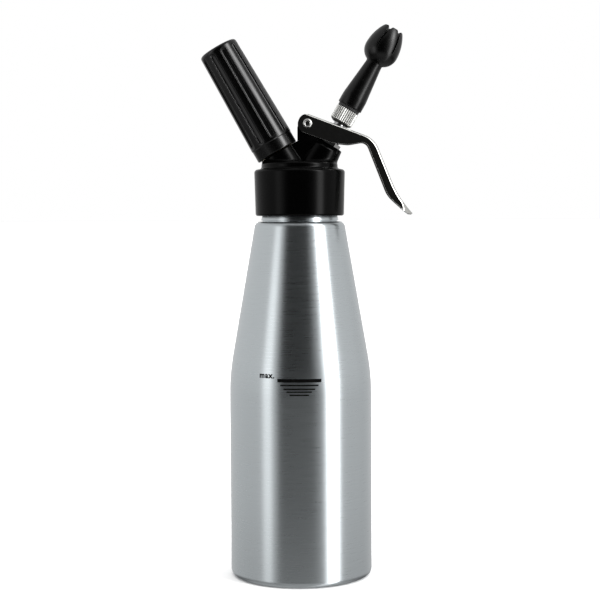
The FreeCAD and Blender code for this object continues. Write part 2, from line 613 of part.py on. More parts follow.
def blend_bosses(body):
    """Fillets along the curves where the bosses leave the crown."""
    crown_top = size(f"{COLLAR_TOP} + crown_height")
    solid = body.Tip.Shape
    names = []
    for number, edge in enumerate(solid.Edges, start=1):
        kinds = {type(face.Surface).__name__ for face in solid.ancestorsOfType(edge, Part.Face)}
        low, high = edge.BoundBox.ZMin, edge.BoundBox.ZMax
        on_crown = high < crown_top + TOUCH and low > crown_top - size("crown_edge")
        if on_crown and kinds in ({"Cone", "Plane"}, {"Cone", "Toroid"}):
            names.append(f"Edge{number}")
    round_edges(body, names, "boss_blend")


def cut_head(body):
    """Everything that is hollow in the head, then the collar's thread."""
    turn_round(body, [
        ("0", f"{COLLAR_FOOT} - cut_past"),
        (COLLAR_BORE, f"{COLLAR_FOOT} - cut_past"),
        (COLLAR_BORE, GASKET_SEAT),
        ("recess_radius", GASKET_SEAT),
        ("recess_radius", CEILING),
        ("0", CEILING)], cut=True)
    turn_round(body, [
        ("0", "pocket_start"),
        ("seat_pocket_radius", "pocket_start"),
        ("seat_pocket_radius", SEAT),
        ("stem_radius + running_gap", SEAT),
        ("stem_radius + running_gap", "boss_mouth - gland_depth"),
        ("gland_radius + contact_gap", "boss_mouth - gland_depth"),
        ("gland_radius + contact_gap", "boss_mouth + cut_past"),
        ("0", "boss_mouth + cut_past")], cut=True, **ON_VALVE_AXIS)
    turn_round(body, [
        ("0", "pocket_start"),
        ("port_pocket_radius", "pocket_start"),
        ("port_pocket_radius", f"{SHANK_START} - port_shelf"),
        ("spigot_radius + contact_gap", f"{SHANK_START} - port_shelf"),
        ("spigot_radius + contact_gap", SHANK_START),
        ("shank_radius + contact_gap", SHANK_START),
        ("shank_radius + contact_gap", "port_face + cut_past"),
        ("0", "port_face + cut_past")], cut=True, **ON_HOLDER_AXIS)
    pivot = new_sketch(body)
    draw_circle(pivot, PIVOT_X, PIVOT_Z, "pin_radius + running_gap")
    extrude(body, pivot, "2 * lever_width", cut=True)
    add_lever_clearance(body)
    add_thread(body, COLLAR_BORE, f"{NECK_THREAD_START} + thread_pitch / 2", "thread_pitch",
               "collar_turns", "thread_foot", "thread_crest", "-thread_depth")


def add_lever_clearance(body):
    """Flats on both sides of the valve boss, where the lever's flanges pass when it is pressed."""
    flat = new_sketch(body, depth=LUG_HALF, **ON_VALVE_AXIS)
    draw_outline(flat, [
        ("-pivot_arm", "boss_mouth - flat_depth"),
        ("boss_mouth_radius + cut_past", "boss_mouth - flat_depth"),
        ("boss_mouth_radius + cut_past", "boss_mouth + cut_past"),
        ("-pivot_arm", "boss_mouth + cut_past")])
    cut = extrude(body, flat, "boss_mouth_radius", cut=True, both_sides=False, reverse=True)
    mirror = body.newObject("PartDesign::Mirrored", "head_flats")
    mirror.Originals = [cut]
    plane = next(item for item in body.Origin.OriginFeatures if item.Role == "XZ_Plane")
    mirror.MirrorPlane = (plane, [""])
    body.Tip = mirror


# ---------------------------------------------------------------------------------------------
# Dispensing valve

def make_valve_stem():
    """Hollow stem: tail for the poppet, waist with cross holes, sliding land, threaded top."""
    body = new_body("valve_stem", **VALVE)
    groove_low = f"({ORING_HEIGHT} - oring_groove_width / 2)"
    groove_high = f"({ORING_HEIGHT} + oring_groove_width / 2)"
    tail_end = f"({POPPET_START} - stem_tail_end)"
    waist_top = f"({SEAT} + stem_waist_length)"
    groove = "(stem_radius - 2 * oring_section)"
    turn_round(body, [
        ("0", tail_end),
        ("stem_tail_radius", tail_end, "stem_edge"),
        ("stem_tail_radius", SEAT),
        ("stem_waist_radius", SEAT),
        ("stem_waist_radius", waist_top),
        ("stem_radius", f"{waist_top} + stem_radius - stem_waist_radius"),
        ("stem_radius", groove_low),
        (groove, groove_low),
        (groove, groove_high),
        ("stem_radius", groove_high),
        ("stem_radius", STEM_STEP),
        ("stem_top_radius", STEM_STEP),
        ("stem_top_radius", STEM_TOP, "stem_edge"),
        ("stem_bore_radius", STEM_TOP),
        ("stem_bore_radius", f"{SEAT} + stem_bore_floor"),
        ("0", f"{SEAT} + stem_bore_floor")])
    port = new_sketch(body)
    draw_circle(port, "0", f"{SEAT} + stem_port_rise", "stem_port_radius")
    extrude(body, port, "3 * stem_waist_radius", cut=True)
    return body


def make_valve_poppet():
    """Brass disc screwed on the stem's tail. It carries the seal."""
    return ring("valve_poppet", VALVE, "stem_tail_radius + contact_gap",
                "poppet_radius", POPPET_START, "poppet_thickness", "poppet_edge")


def make_valve_seal():
    """Rubber disc that closes against the seat in the head."""
    return ring("valve_seal", VALVE, "stem_tail_radius + contact_gap", "seal_radius",
                f"({SEAT} - contact_gap - seal_thickness)", "seal_thickness", "seal_edge")


def make_stem_oring():
    """O-ring in the stem's groove."""
    oring = doc.addObject("Part::Torus", "stem_oring")
    oring.Label = "stem_oring"
    bind(oring, "Radius1", "stem_radius - oring_section + contact_gap")
    bind(oring, "Radius2", "oring_section")
    oring.Placement = FreeCAD.Placement(
        FreeCAD.Vector(0, 0, 0), FreeCAD.Rotation(FreeCAD.Vector(0, 1, 0), size("valve_tilt")))
    bind(oring, "Placement.Base.x", f"{ORING_HEIGHT} * sin(valve_tilt)")
    bind(oring, "Placement.Base.z", f"{VALVE_CROSS} + {ORING_HEIGHT} * cos(valve_tilt)")
    bind(oring, "Placement.Rotation.Angle", "valve_tilt")
    return oring


def make_gland_nut():
    """Brass nut in the boss's mouth that guides the stem and carries the spring."""
    body = new_body("gland_nut", **VALVE)
    turn_round(body, [
        ("stem_radius + running_gap", "boss_mouth - gland_depth + contact_gap"),
        ("gland_radius", "boss_mouth - gland_depth + contact_gap", "gland_edge"),
        ("gland_radius", "boss_mouth + gland_head / 2"),
        ("stem_radius + running_gap", "boss_mouth + gland_head / 2")])
    hexagon = new_sketch(body, role="XY_Plane", depth="boss_mouth + contact_gap")
    corner, half = "(gland_hex / sqrt(3))", "(gland_hex / 2)"
    draw_outline(hexagon, [
        (corner, "0"), (f"{corner} / 2", half), (f"-{corner} / 2", half),
        (f"-{corner}", "0"), (f"-{corner} / 2", f"-{half}"), (f"{corner} / 2", f"-{half}")])
    extrude(body, hexagon, "gland_head - contact_gap", both_sides=False)
    turn_round(body, [
        ("0", "boss_mouth - gland_depth - cut_past"),
        ("stem_radius + running_gap", "boss_mouth - gland_depth - cut_past"),
        ("stem_radius + running_gap", "boss_mouth + gland_head + cut_past"),
        ("0", "boss_mouth + gland_head + cut_past")], cut=True)
    return body


def make_valve_spring():
    """Coil spring between the gland nut and the thrust ring."""
    body = new_body("valve_spring", **VALVE)
    foot = "(boss_mouth + gland_head + spring_wire + contact_gap)"
    length = "(spring_space - 2 * spring_wire - 2 * contact_gap)"
    sketch = new_sketch(body)
    draw_circle(sketch, "spring_radius", foot, "spring_wire")
    helix = body.newObject("PartDesign::AdditiveHelix", "valve_spring_coil")
    helix.Profile = sketch
    helix.ReferenceAxis = (sketch, ["V_Axis"])
    helix.Mode = "pitch-turns-angle"
    bind(helix, "Pitch", f"{length} / spring_turns")
    bind(helix, "Turns", "spring_turns")
    helix.Angle = 0
    return body


def make_thrust_ring():
    """Ring on the stem's step. Its domed face lets the lever's slot roll as the lever turns."""
    dome = doc.addObject("Part::Sphere", "thrust_dome")
    bind(dome, "Radius", "thrust_dome")
    bind(dome, "Placement.Base.z", PIVOT_REACH)
    blank = doc.addObject("Part::Cylinder", "thrust_blank")
    bind(blank, "Radius", "thrust_radius")
    bind(blank, "Height", "thrust_dome")
    bind(blank, "Placement.Base.z", f"{STEM_STEP} + contact_gap")
    bore = doc.addObject("Part::Cylinder", "thrust_bore")
    bind(bore, "Radius", "stem_top_radius + contact_gap")
    bind(bore, "Height", "2 * thrust_dome")
    bind(bore, "Placement.Base.z", f"{STEM_STEP} - cut_past")
    crowned = doc.addObject("Part::MultiCommon", "thrust_crowned")
    crowned.Shapes = [dome, blank]
    thrust = doc.addObject("Part::Cut", "thrust_ring")
    thrust.Label = "thrust_ring"
    thrust.Base = crowned
    thrust.Tool = bore
    thrust.Placement = FreeCAD.Placement(
        FreeCAD.Vector(0, 0, 0), FreeCAD.Rotation(FreeCAD.Vector(0, 1, 0), size("valve_tilt")))
    bind(thrust, "Placement.Base.z", VALVE_CROSS)
    bind(thrust, "Placement.Rotation.Angle", "valve_tilt")
    return thrust


# ---------------------------------------------------------------------------------------------
# Nozzle

def make_nozzle_adapter():
    """Knurled adapter screwed on the stem, with a threaded stud for the nozzle."""
    body = new_body("nozzle_adapter", **VALVE)
    turn_round(body, [
        ("stem_top_radius + contact_gap", ADAPTER_START),
        ("adapter_radius - adapter_chamfer", ADAPTER_START),
        ("adapter_radius", f"{ADAPTER_START} + adapter_chamfer"),
        ("adapter_radius", f"{ADAPTER_TOP} - adapter_edge"),
        ("adapter_radius - adapter_edge", ADAPTER_TOP),
        ("stud_radius", ADAPTER_TOP),
        ("stud_radius", STUD_TOP, "stem_edge"),
        ("adapter_bore", STUD_TOP),
        ("adapter_bore", ADAPTER_SHELF),
        ("stem_top_radius + contact_gap", ADAPTER_SHELF)])
    add_thread(body, "stud_radius", STUD_THREAD_START, "stud_pitch", "stud_turns",
               "stud_foot", "stud_crest", "stud_depth")
    return body


def make_adapter_seal():
    """Washer between the stem's end and the adapter's inner step."""
    return ring("adapter_seal", VALVE, "adapter_bore", "stem_top_radius - contact_gap",
                f"{STEM_TOP} + contact_gap", "adapter_seal_thickness")


def make_nozzle_seal():
    """Ring between the adapter and the nozzle's foot."""
    return ring("nozzle_seal", VALVE, "stud_radius + stud_depth + stud_play", "nozzle_seal_radius",
                f"{ADAPTER_TOP} + contact_gap", "nozzle_seal_thickness", "2 * ring_edge")


def make_decorator_nozzle():
    """Tulip nozzle: threaded foot, tapered neck and a hollow tulip with slits between its petals."""
    body = new_body("decorator_nozzle", spin="slit_turn", **VALVE)
    socket = "(stud_radius + stud_depth + stud_play)"
    turn_round(body, [
        (socket, NOZZLE_START),
        ("nozzle_foot_radius", NOZZLE_START, "nozzle_foot_edge"),
        ("nozzle_foot_radius", f"{NOZZLE_START} + nozzle_foot_length", "3 * nozzle_foot_length"),
        ("nozzle_neck_radius", f"{NECK_END} - nozzle_neck_overlap", "nozzle_neck_radius / 2"),
        ("nozzle_neck_radius", f"{NECK_END} + tulip_wall"),
        ("nozzle_bore", f"{NECK_END} + tulip_wall"),
        ("nozzle_bore", f"{NOZZLE_START} + nozzle_socket"),
        (socket, f"{NOZZLE_START} + nozzle_socket")])
    add_tulip(body)
    thread_start = f"({STUD_THREAD_START} + stud_pitch / 2 + stud_pitch * slit_turn / 360)"
    add_thread(body, socket, thread_start, "stud_pitch", "stud_turns - 1",
               "stud_foot", "stud_crest", "-stud_depth")
    slit = new_sketch(body, depth="nozzle_bore / 2")
    wide, narrow = "(slit_width / 2)", "(slit_foot_width / 2)"
    foot, bevel = f"({TULIP_EQUATOR} + slit_rise)", f"({TULIP_TOP} - tip_relief)"
    past = f"({TULIP_TOP} + cut_past)"
    draw_outline(slit, [
        (f"-{narrow}", foot, "slit_edge"), (narrow, foot, "slit_edge"),
        (wide, bevel), (f"{wide} + tip_relief", past),
        (f"-{wide} - tip_relief", past), (f"-{wide}", bevel)])
    cut = extrude(body, slit, "2 * tulip_radius", cut=True, both_sides=False, reverse=True)
    repeat_round(body, cut, "petal_count")
    return body


def arc_between(sketch, start, end, centre_height, radius, last_end):
    """An arc from start to end whose centre lies at a given height inside the tulip."""
    first = FreeCAD.Vector(size(start[0]), size(start[1]), 0)
    last = FreeCAD.Vector(size(end[0]), size(end[1]), 0)
    bulge = size(radius)
    height = size(centre_height)
    centre = FreeCAD.Vector(max(first.x, last.x) - bulge, height, 0)
    angles = [math.atan2(p.y - height, p.x - centre.x) for p in (first, last)]
    arc = sketch.addGeometry(Part.ArcOfCircle(
        Part.Circle(centre, FreeCAD.Vector(0, 0, 1), bulge), *sorted(angles)), False)
    rising = angles[0] < angles[1]
    if last_end is not None:
        sketch.addConstraint(Sketcher.Constraint(
            "Coincident", last_end[0], last_end[1], arc, 1 if rising else 2))
    return arc, (arc, 2 if rising else 1)


def add_tulip(body):
    """The hollow tulip: two outer arcs and two inner arcs that meet at the widest part."""
    sketch = new_sketch(body)
    inner = "(tulip_radius - tulip_wall)"
    foot = (f"({TULIP_EQUATOR} - sqrt(tulip_belly^2"
            " - (tulip_belly - tulip_radius + nozzle_neck_radius)^2))")
    belly = "(tulip_belly - tulip_wall)"
    inner_foot = f"({TULIP_EQUATOR} - sqrt({belly}^2 - ({belly} - {inner} + nozzle_bore)^2))"
    tip = "(tulip_radius - tulip_petal_arc + sqrt(tulip_petal_arc^2 - tulip_rise^2))"
    petal = "(tulip_petal_arc - tulip_wall)"
    inner_tip = f"({inner} - {petal} + sqrt({petal}^2 - tulip_rise^2))"
    _, end = arc_between(sketch, ("nozzle_neck_radius", foot), ("tulip_radius", TULIP_EQUATOR),
                         TULIP_EQUATOR, "tulip_belly", None)
    first = 0
    _, end = arc_between(sketch, ("tulip_radius", TULIP_EQUATOR), (tip, TULIP_TOP),
                         TULIP_EQUATOR, "tulip_petal_arc", end)
    top = sketch.addGeometry(Part.LineSegment(
        FreeCAD.Vector(size(tip), size(TULIP_TOP), 0),
        FreeCAD.Vector(size(inner_tip), size(TULIP_TOP), 0)), False)
    sketch.addConstraint(Sketcher.Constraint("Coincident", end[0], end[1], top, 1))
    _, end = arc_between(sketch, (inner_tip, TULIP_TOP), (inner, TULIP_EQUATOR),
                         TULIP_EQUATOR, petal, (top, 2))
    _, end = arc_between(sketch, (inner, TULIP_EQUATOR), ("nozzle_bore", inner_foot),
                         TULIP_EQUATOR, belly, end)
    shaft = sketch.addGeometry(Part.LineSegment(
        FreeCAD.Vector(size("nozzle_bore"), size(inner_foot), 0),
        FreeCAD.Vector(size("nozzle_bore"), size(foot), 0)), False)
    base = sketch.addGeometry(Part.LineSegment(
        FreeCAD.Vector(size("nozzle_bore"), size(foot), 0),
        FreeCAD.Vector(size("nozzle_neck_radius"), size(foot), 0)), False)
    sketch.addConstraint(Sketcher.Constraint("Coincident", end[0], end[1], shaft, 1))
    sketch.addConstraint(Sketcher.Constraint("Coincident", shaft, 2, base, 1))
    sketch.addConstraint(Sketcher.Constraint("Coincident", base, 2, first, 1))
    pin_down(sketch, base, 2, "nozzle_neck_radius", foot)
    pin_down(sketch, first, 2, "tulip_radius", TULIP_EQUATOR)
    pin_down(sketch, top, 1, tip, TULIP_TOP)
    pin_down(sketch, top, 2, inner_tip, TULIP_TOP)
    pin_down(sketch, end[0], 3 - end[1], inner, TULIP_EQUATOR)
    pin_down(sketch, shaft, 1, "nozzle_bore", inner_foot)
    pin_down(sketch, shaft, 2, "nozzle_bore", foot)
    feature = body.newObject("PartDesign::Revolution", "decorator_nozzle_tulip")
    feature.Profile = sketch
    feature.ReferenceAxis = (sketch, ["V_Axis"])
    feature.Angle = 360


# ---------------------------------------------------------------------------------------------
# Lever

BEND = ("bend_reach", "web_rise")
FLARE = ("(bend_reach + tail_run)", "(web_rise - tail_run * tan(tail_slope))")
TIP = (f"({FLARE[0]} + tip_run)", f"({FLARE[1]} - tip_run * tan(flare_slope))")
SHARE = "(lever_thickness / (1 + cos(tail_slope - flare_slope)))"
UNDER_FLARE = (f"({FLARE[0]} - {SHARE} * (sin(tail_slope) + sin(flare_slope)))",
               f"({FLARE[1]} - {SHARE} * (cos(tail_slope) + cos(flare_slope)))")
UNDER_TIP = f"({UNDER_FLARE[1]} - ({{0}} - {UNDER_FLARE[0]}) * tan(flare_slope))"
PAST_TIP = f"(2 * {TIP[0]})"


def below_tail(depth):
    """A line parallel to the tail's outer face, deeper by a depth: its height at a reach."""
    return (f"(web_rise - ({{0}} - bend_reach) * tan(tail_slope)"
            f" - ({depth}) / cos(tail_slope))")


def make_lever():
    """Channel of bent sheet: web, flanges, bend, tail and flat thumb tip."""
    body = new_body("lever", height=PIVOT_Z, tilt="lever_slope", x=PIVOT_X)
    deep = below_tail("tail_depth")
    armpit = "(bend_reach - 0.77 * tail_depth)"
    side = new_sketch(body)
    draw_outline(side, [
        ("-lever_nose", "web_rise"),
        ("-lever_nose", "-flange_drop"),
        ("flange_run", "-flange_drop", "2 * armpit_radius"),
        ("flange_dip", "-flange_dip_drop", "2 * armpit_radius"),
        (armpit, deep.format(armpit), "armpit_radius"),
        (TIP[0], deep.format(TIP[0])),
        TIP,
        (*FLARE, "flare_radius"),
        (*BEND, "lever_bend")])
    extrude(body, side, "lever_width")
    doc.recompute()
    round_lever(body)
    hollow_lever(body)
    trim_thumb_tip(body)
    trim_nose(body)
    pivot = new_sketch(body)
    draw_circle(pivot, "0", "0", "pin_radius + contact_gap")
    extrude(body, pivot, "2 * lever_width", cut=True)
    slot = new_sketch(body, role="XY_Plane")
    half, corner = "(slot_width / 2)", "0.45 * slot_width"
    back, front = "(pivot_arm - slot_back)", "(pivot_arm + slot_front)"
    draw_outline(slot, [
        (back, f"-{half}", corner), (front, f"-{half}", corner),
        (front, half, corner), (back, half, corner)])
    extrude(body, slot, "2 * web_rise", cut=True, both_sides=False, reverse=True)
    return body


def round_lever(body):
    """Round the long outer edges between the web and the flanges."""
    half = size("lever_width") / 2
    names = []
    for number, edge in enumerate(body.Tip.Shape.Edges, start=1):
        place = edge.valueAt((edge.FirstParameter + edge.LastParameter) / 2)
        along = edge.BoundBox.YLength < TOUCH and abs(abs(place.y) - half) < TOUCH
        if along and is_on_web(place):
            names.append(f"Edge{number}")
    round_edges(body, names, "lever_edge")


def is_on_web(place):
    """Whether a point lies close to the outer face of web, bend, tail or tip."""
    tail = size(below_tail("0").format(f"({place.x})"))
    tip = size(TIP[1]) + (size(TIP[0]) - place.x) * math.tan(math.radians(size("flare_slope")))
    upper = size("web_rise") if place.x < size("bend_reach") else max(tail, tip)
    return abs(place.z - upper) < size("lever_edge") and place.x < size(TIP[0]) - TOUCH


def hollow_lever(body):
    """Cut the channel between the flanges, a sheet's thickness under the outer face."""
    web_below = "(web_rise - lever_thickness)"
    bend_below = "(bend_reach - lever_thickness * tan(tail_slope / 2))"
    hollow = new_sketch(body)
    draw_outline(hollow, [
        ("-2 * lever_nose", web_below),
        ("-2 * lever_nose", f"-{TIP[0]}"),
        (PAST_TIP, f"-{TIP[0]}"),
        (PAST_TIP, UNDER_TIP.format(PAST_TIP)),
        (UNDER_FLARE[0], UNDER_FLARE[1], "flare_radius + lever_thickness"),
        (bend_below, web_below, "lever_bend - lever_thickness")])
    extrude(body, hollow, "lever_width - 2 * lever_thickness", cut=True)


def trim_nose(body):
    """Round the lever's end behind the pivot."""
    nose = new_sketch(body)
    draw_outline(nose, [
        ("0", "2 * web_rise"), ("0", "web_rise"),
        ("-lever_nose", "web_rise", "0.95 * web_rise"),
        ("-lever_nose", "-flange_drop", "0.95 * web_rise"),
        ("0", "-flange_drop"), ("0", "-2 * flange_drop"),
        ("-2 * lever_nose", "-2 * flange_drop"), ("-2 * lever_nose", "2 * web_rise")])
    extrude(body, nose, "2 * lever_width", cut=True)


def trim_thumb_tip(body):
    """Let the flanges run out before the tip, and round the tip in plan."""
    deep = below_tail("tail_depth")
    start, turn = f"({FLARE[0]} - 3 * tail_depth)", f"({FLARE[0]} - tail_depth)"
    end = f"({TIP[0]} - tip_plain)"
    run_out = new_sketch(body)
    draw_outline(run_out, [
        (start, deep.format(start)),
        (start, f"-{TIP[0]}"),
        (PAST_TIP, f"-{TIP[0]}"),
        (PAST_TIP, UNDER_TIP.format(PAST_TIP)),
        (end, UNDER_TIP.format(end)),
        (turn, deep.format(turn), "4 * armpit_radius")])
    extrude(body, run_out, "2 * lever_width", cut=True)
    plan = new_sketch(body, role="XY_Plane")
    near, half = f"({TIP[0]} - 1.2 * tip_rounding)", "(lever_width / 2)"
    draw_outline(plan, [
        (near, "lever_width"), (near, half), (TIP[0], half, "tip_rounding"),
        (TIP[0], f"-{half}", "tip_rounding"), (near, f"-{half}"), (near, "-lever_width"),
        (PAST_TIP, "-lever_width"), (PAST_TIP, "lever_width")])
    extrude(body, plan, PAST_TIP, cut=True)


def make_lever_pin():
    """Rivet with hollow ends through the flanges and the lug."""
    body = new_body("lever_pin", height=PIVOT_Z, tilt="lever_slope", x=PIVOT_X)
    shank = new_sketch(body)
    draw_circle(shank, "0", "0", "pin_radius")
    extrude(body, shank, "lever_width + 2 * pin_head_height")
    for sign in ("", "-"):
        head = new_sketch(body, depth=f"{sign}(lever_width / 2 + contact_gap)")
        draw_circle(head, "0", "0", "pin_head_radius")
        extrude(body, head, "pin_head_height", both_sides=False, reverse=sign == "-")
        hollow = new_sketch(body, depth=f"{sign}(lever_width / 2 + pin_head_height + contact_gap)")
        draw_circle(hollow, "0", "0", "pin_hollow_radius")
        extrude(body, hollow, "pin_hollow_depth", cut=True, both_sides=False, reverse=sign == "-")
    return body


# ---------------------------------------------------------------------------------------------
# Charger port

def make_charger_port():
    """Brass fitting: shank in the boss, threaded stub, socket for the charger, spigot with cross holes."""
    body = new_body("charger_port", **HOLDER)
    shoulder = f"({SHANK_START} + port_seal_thickness + 2 * contact_gap)"
    turn_round(body, [
        ("0", SPIGOT_START),
        ("spigot_radius", SPIGOT_START, "spigot_edge"),
        ("spigot_radius", shoulder),
        ("shank_radius", shoulder, "shank_edge"),
        ("shank_radius", "port_face + contact_gap"),
        ("stub_radius", "port_face + contact_gap"),
        ("stub_radius", STUB_TOP, "stub_edge"),
        ("socket_radius", STUB_TOP, "stub_edge"),
        ("socket_radius", SOCKET_FLOOR),
        ("needle_flange_radius + contact_gap", SOCKET_FLOOR),
        ("needle_flange_radius + contact_gap", f"{NEEDLE_FLANGE} - contact_gap"),
        ("needle_shank_radius + contact_gap", f"{NEEDLE_FLANGE} - contact_gap"),
        ("needle_shank_radius + contact_gap", f"{NEEDLE_SEAT} - contact_gap"),
        ("gas_bore", f"{NEEDLE_SEAT} - contact_gap"),
        ("gas_bore", f"{SPIGOT_START} + spigot_floor"),
        ("0", f"{SPIGOT_START} + spigot_floor")])
    ports = new_sketch(body)
    draw_circle(ports, "0", f"{SPIGOT_START} + gas_port_rise", "gas_port_radius")
    extrude(body, ports, "3 * spigot_radius", cut=True)
    add_thread(body, "stub_radius", STUB_THREAD_START, "stub_pitch", "stub_turns",
               "stub_foot", "stub_crest", "stub_depth")
    return body


def make_port_seal():
    """Ring under the port fitting's shank."""
    return ring("port_seal", HOLDER, "spigot_radius + contact_gap",
                "shank_radius - contact_gap", f"{SHANK_START} + contact_gap", "port_seal_thickness")


def make_check_valve_sleeve():
    """Rubber sleeve over the spigot's cross holes. It lets gas in and none out."""
    return ring("check_valve_sleeve", HOLDER, "spigot_radius + contact_gap",
                "spigot_radius + sleeve_wall", f"{SPIGOT_START} + sleeve_rise", "sleeve_length",
                "sleeve_edge")


def make_piercing_pin():
    """Hollow steel pin in the socket's floor."""
    body = new_body("piercing_pin", **HOLDER)
    turn_round(body, [
        ("needle_bore", NEEDLE_SEAT),
        ("needle_shank_radius", NEEDLE_SEAT, "needle_edge"),
        ("needle_shank_radius", NEEDLE_FLANGE),
        ("needle_flange_radius", NEEDLE_FLANGE),
        ("needle_flange_radius", f"{SOCKET_FLOOR} - contact_gap", "needle_edge"),
        ("needle_radius", f"{SOCKET_FLOOR} - contact_gap"),
        ("needle_radius", f"{NEEDLE_TOP} - needle_point"),
        ("needle_bore + needle_lip", NEEDLE_TOP),
        ("needle_bore", NEEDLE_TOP)])
    return body


def make_charger_seal():
    """Washer in the socket on which the charger's mouth presses."""
    return ring("charger_seal", HOLDER, "needle_radius + running_gap", "socket_radius - contact_gap",
                f"{SOCKET_FLOOR} + contact_gap", "charger_seal_thickness")


def make_gas_charger():
    """Small steel gas capsule, mouth down."""
    body = new_body("gas_charger", **HOLDER)
    shoulder_start = f"({CHARGER_MOUTH} + charger_neck_length)"
    shoulder_end = f"({shoulder_start} + charger_shoulder)"
    base = f"({CHARGER_MOUTH} + charger_length)"
    end = "0.93 * charger_radius"
    turn_round(body, [
        ("charger_mouth_radius", CHARGER_MOUTH, "charger_mouth_edge"),
        ("charger_neck_radius", CHARGER_MOUTH, "charger_neck_edge"),
        ("charger_neck_radius", shoulder_start, "charger_neck_radius / 2"),
        ("charger_radius", shoulder_end, "charger_radius / 2"),
        ("charger_radius", base, end),
        ("0", base),
        ("0", f"{base} - charger_wall"),
        ("charger_radius - charger_wall", f"{base} - charger_wall", f"{end} - charger_wall"),
        ("charger_radius - charger_wall", f"{shoulder_end} + charger_wall / 2", "charger_radius / 3"),
        ("charger_mouth_radius", f"{shoulder_start} + charger_wall / 2")])
    return body


def make_charger_cap():
    """Pierced sealing cap in the charger's neck."""
    return ring("charger_cap", HOLDER, "needle_radius + running_gap", "charger_mouth_radius - contact_gap",
                f"{CHARGER_MOUTH} + cap_depth", "cap_thickness")


# ---------------------------------------------------------------------------------------------
# Charger holder

def make_charger_holder():
    """Fluted grip with a smooth band at its foot and a domed top, hollow for the charger."""
    body = new_body("charger_holder", spin="flute_turn", **HOLDER)
    band_top = f"({HOLDER_START} + holder_band)"
    liner_end = f"({HOLDER_START} + liner_inset + liner_length + 2 * contact_gap)"
    bore = "(charger_radius + holder_bore_gap)"
    bore_top = f"({CHARGER_MOUTH} + charger_length + contact_gap)"
    turn_round(body, [
        ("liner_radius + contact_gap", HOLDER_START, "liner_edge"),
        ("holder_foot_radius", HOLDER_START, "holder_foot_edge"),
        ("holder_foot_radius", f"{band_top} - holder_band_step"),
        ("holder_rib_radius", band_top),
        ("holder_top_radius", f"{HOLDER_TOP} - holder_dome", "holder_top_edge"),
        ("0.45 * holder_top_radius", HOLDER_TOP, "2 * holder_top_radius"),
        ("0", HOLDER_TOP),
        ("0", bore_top),
        (bore, bore_top, "0.9 * charger_radius"),
        (bore, liner_end),
        ("liner_radius + contact_gap", liner_end)])
    add_flutes(body)
    return body


def add_flutes(body):
    """Long grooves between the ribs, each with rounded ends, following the ribs' taper."""
    run = f"({HOLDER_LENGTH} - holder_dome - holder_band)"
    lean = f"atan((holder_rib_radius - holder_top_radius) / {run})"
    flute = new_sketch(body)
    flute.AttachmentOffset = FreeCAD.Placement(
        FreeCAD.Vector(0, size(f"{HOLDER_START} + holder_band"), size("holder_rib_radius - flute_depth")),
        FreeCAD.Rotation(FreeCAD.Vector(1, 0, 0), -size(lean)))
    bind(flute, "AttachmentOffset.Base.y", f"{HOLDER_START} + holder_band")
    bind(flute, "AttachmentOffset.Base.z", "holder_rib_radius - flute_depth")
    bind(flute, "AttachmentOffset.Rotation.Angle", f"-{lean}")
    half = "(flute_width / 2)"
    low = "(flute_foot - holder_band)"
    high = f"({HOLDER_LENGTH} - holder_band - flute_top_gap)"
    draw_outline(flute, [
        (f"-{half}", low, f"0.98 * {half}"), (half, low, f"0.98 * {half}"),
        (half, high, f"0.98 * {half}"), (f"-{half}", high, f"0.98 * {half}")])
    cut = extrude(body, flute, "2 * flute_depth", cut=True, both_sides=False, reverse=True)
    repeat_round(body, cut, "flute_count")


def make_holder_liner():
    """Brass liner with the thread that runs on the charger port."""
    body = new_body("holder_liner", **HOLDER)
    inner = "(stub_radius + stub_depth + stub_play)"
    start = f"({HOLDER_START} + liner_inset)"
    turn_round(body, [
        (inner, start, "liner_edge"), ("liner_radius", start, "liner_edge"),
        ("liner_radius", f"{start} + liner_length", "liner_edge"),
        (inner, f"{start} + liner_length", "liner_edge")])
    add_thread(body, inner, f"{STUB_THREAD_START} + stub_pitch / 2", "stub_pitch", "liner_turns",
               "stub_foot", "stub_crest", "-stub_depth")
    return body


# ---------------------------------------------------------------------------------------------
# Build, check and export

MAKERS = [
    make_bottle, make_head_gasket, make_head,
    make_valve_stem, make_valve_poppet, make_valve_seal, make_stem_oring, make_gland_nut,
    make_valve_spring, make_thrust_ring,
    make_nozzle_adapter, make_adapter_seal, make_nozzle_seal, make_decorator_nozzle,
    make_lever, make_lever_pin,
    make_charger_port, make_port_seal, make_check_valve_sleeve, make_piercing_pin,
    make_charger_seal, make_gas_charger, make_charger_cap,
    make_charger_holder, make_holder_liner,
]
pieces = [maker() for maker in MAKERS]
doc.recompute()

broken = [item.Name for item in doc.Objects if "Invalid" in item.State or "Error" in item.State]
if broken:
    raise RuntimeError(f"these objects failed: {broken}")
for piece in pieces:
    if piece.Shape.isNull() or not piece.Shape.isValid() or not piece.Shape.Solids:
        raise RuntimeError(f"{piece.Label} has no valid solid")

os.makedirs("parts", exist_ok=True)
for piece in pieces:
    piece.Shape.exportStep(f"parts/{piece.Label}.step")
    print(f"{piece.Label}: {len(piece.Shape.Solids)} solid, {piece.Shape.Volume:.1f} mm3")
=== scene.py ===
"""Dressed model of a whipped cream dispenser: bottle, head, lever valve, nozzle and charger holder."""

import logging
import math
from contextlib import contextmanager
from dataclasses import dataclass
from enum import Enum
from functools import cache
from itertools import pairwise
from typing import Callable, Iterator, NamedTuple, Sequence

import bpy
from mathutils import Matrix, Vector


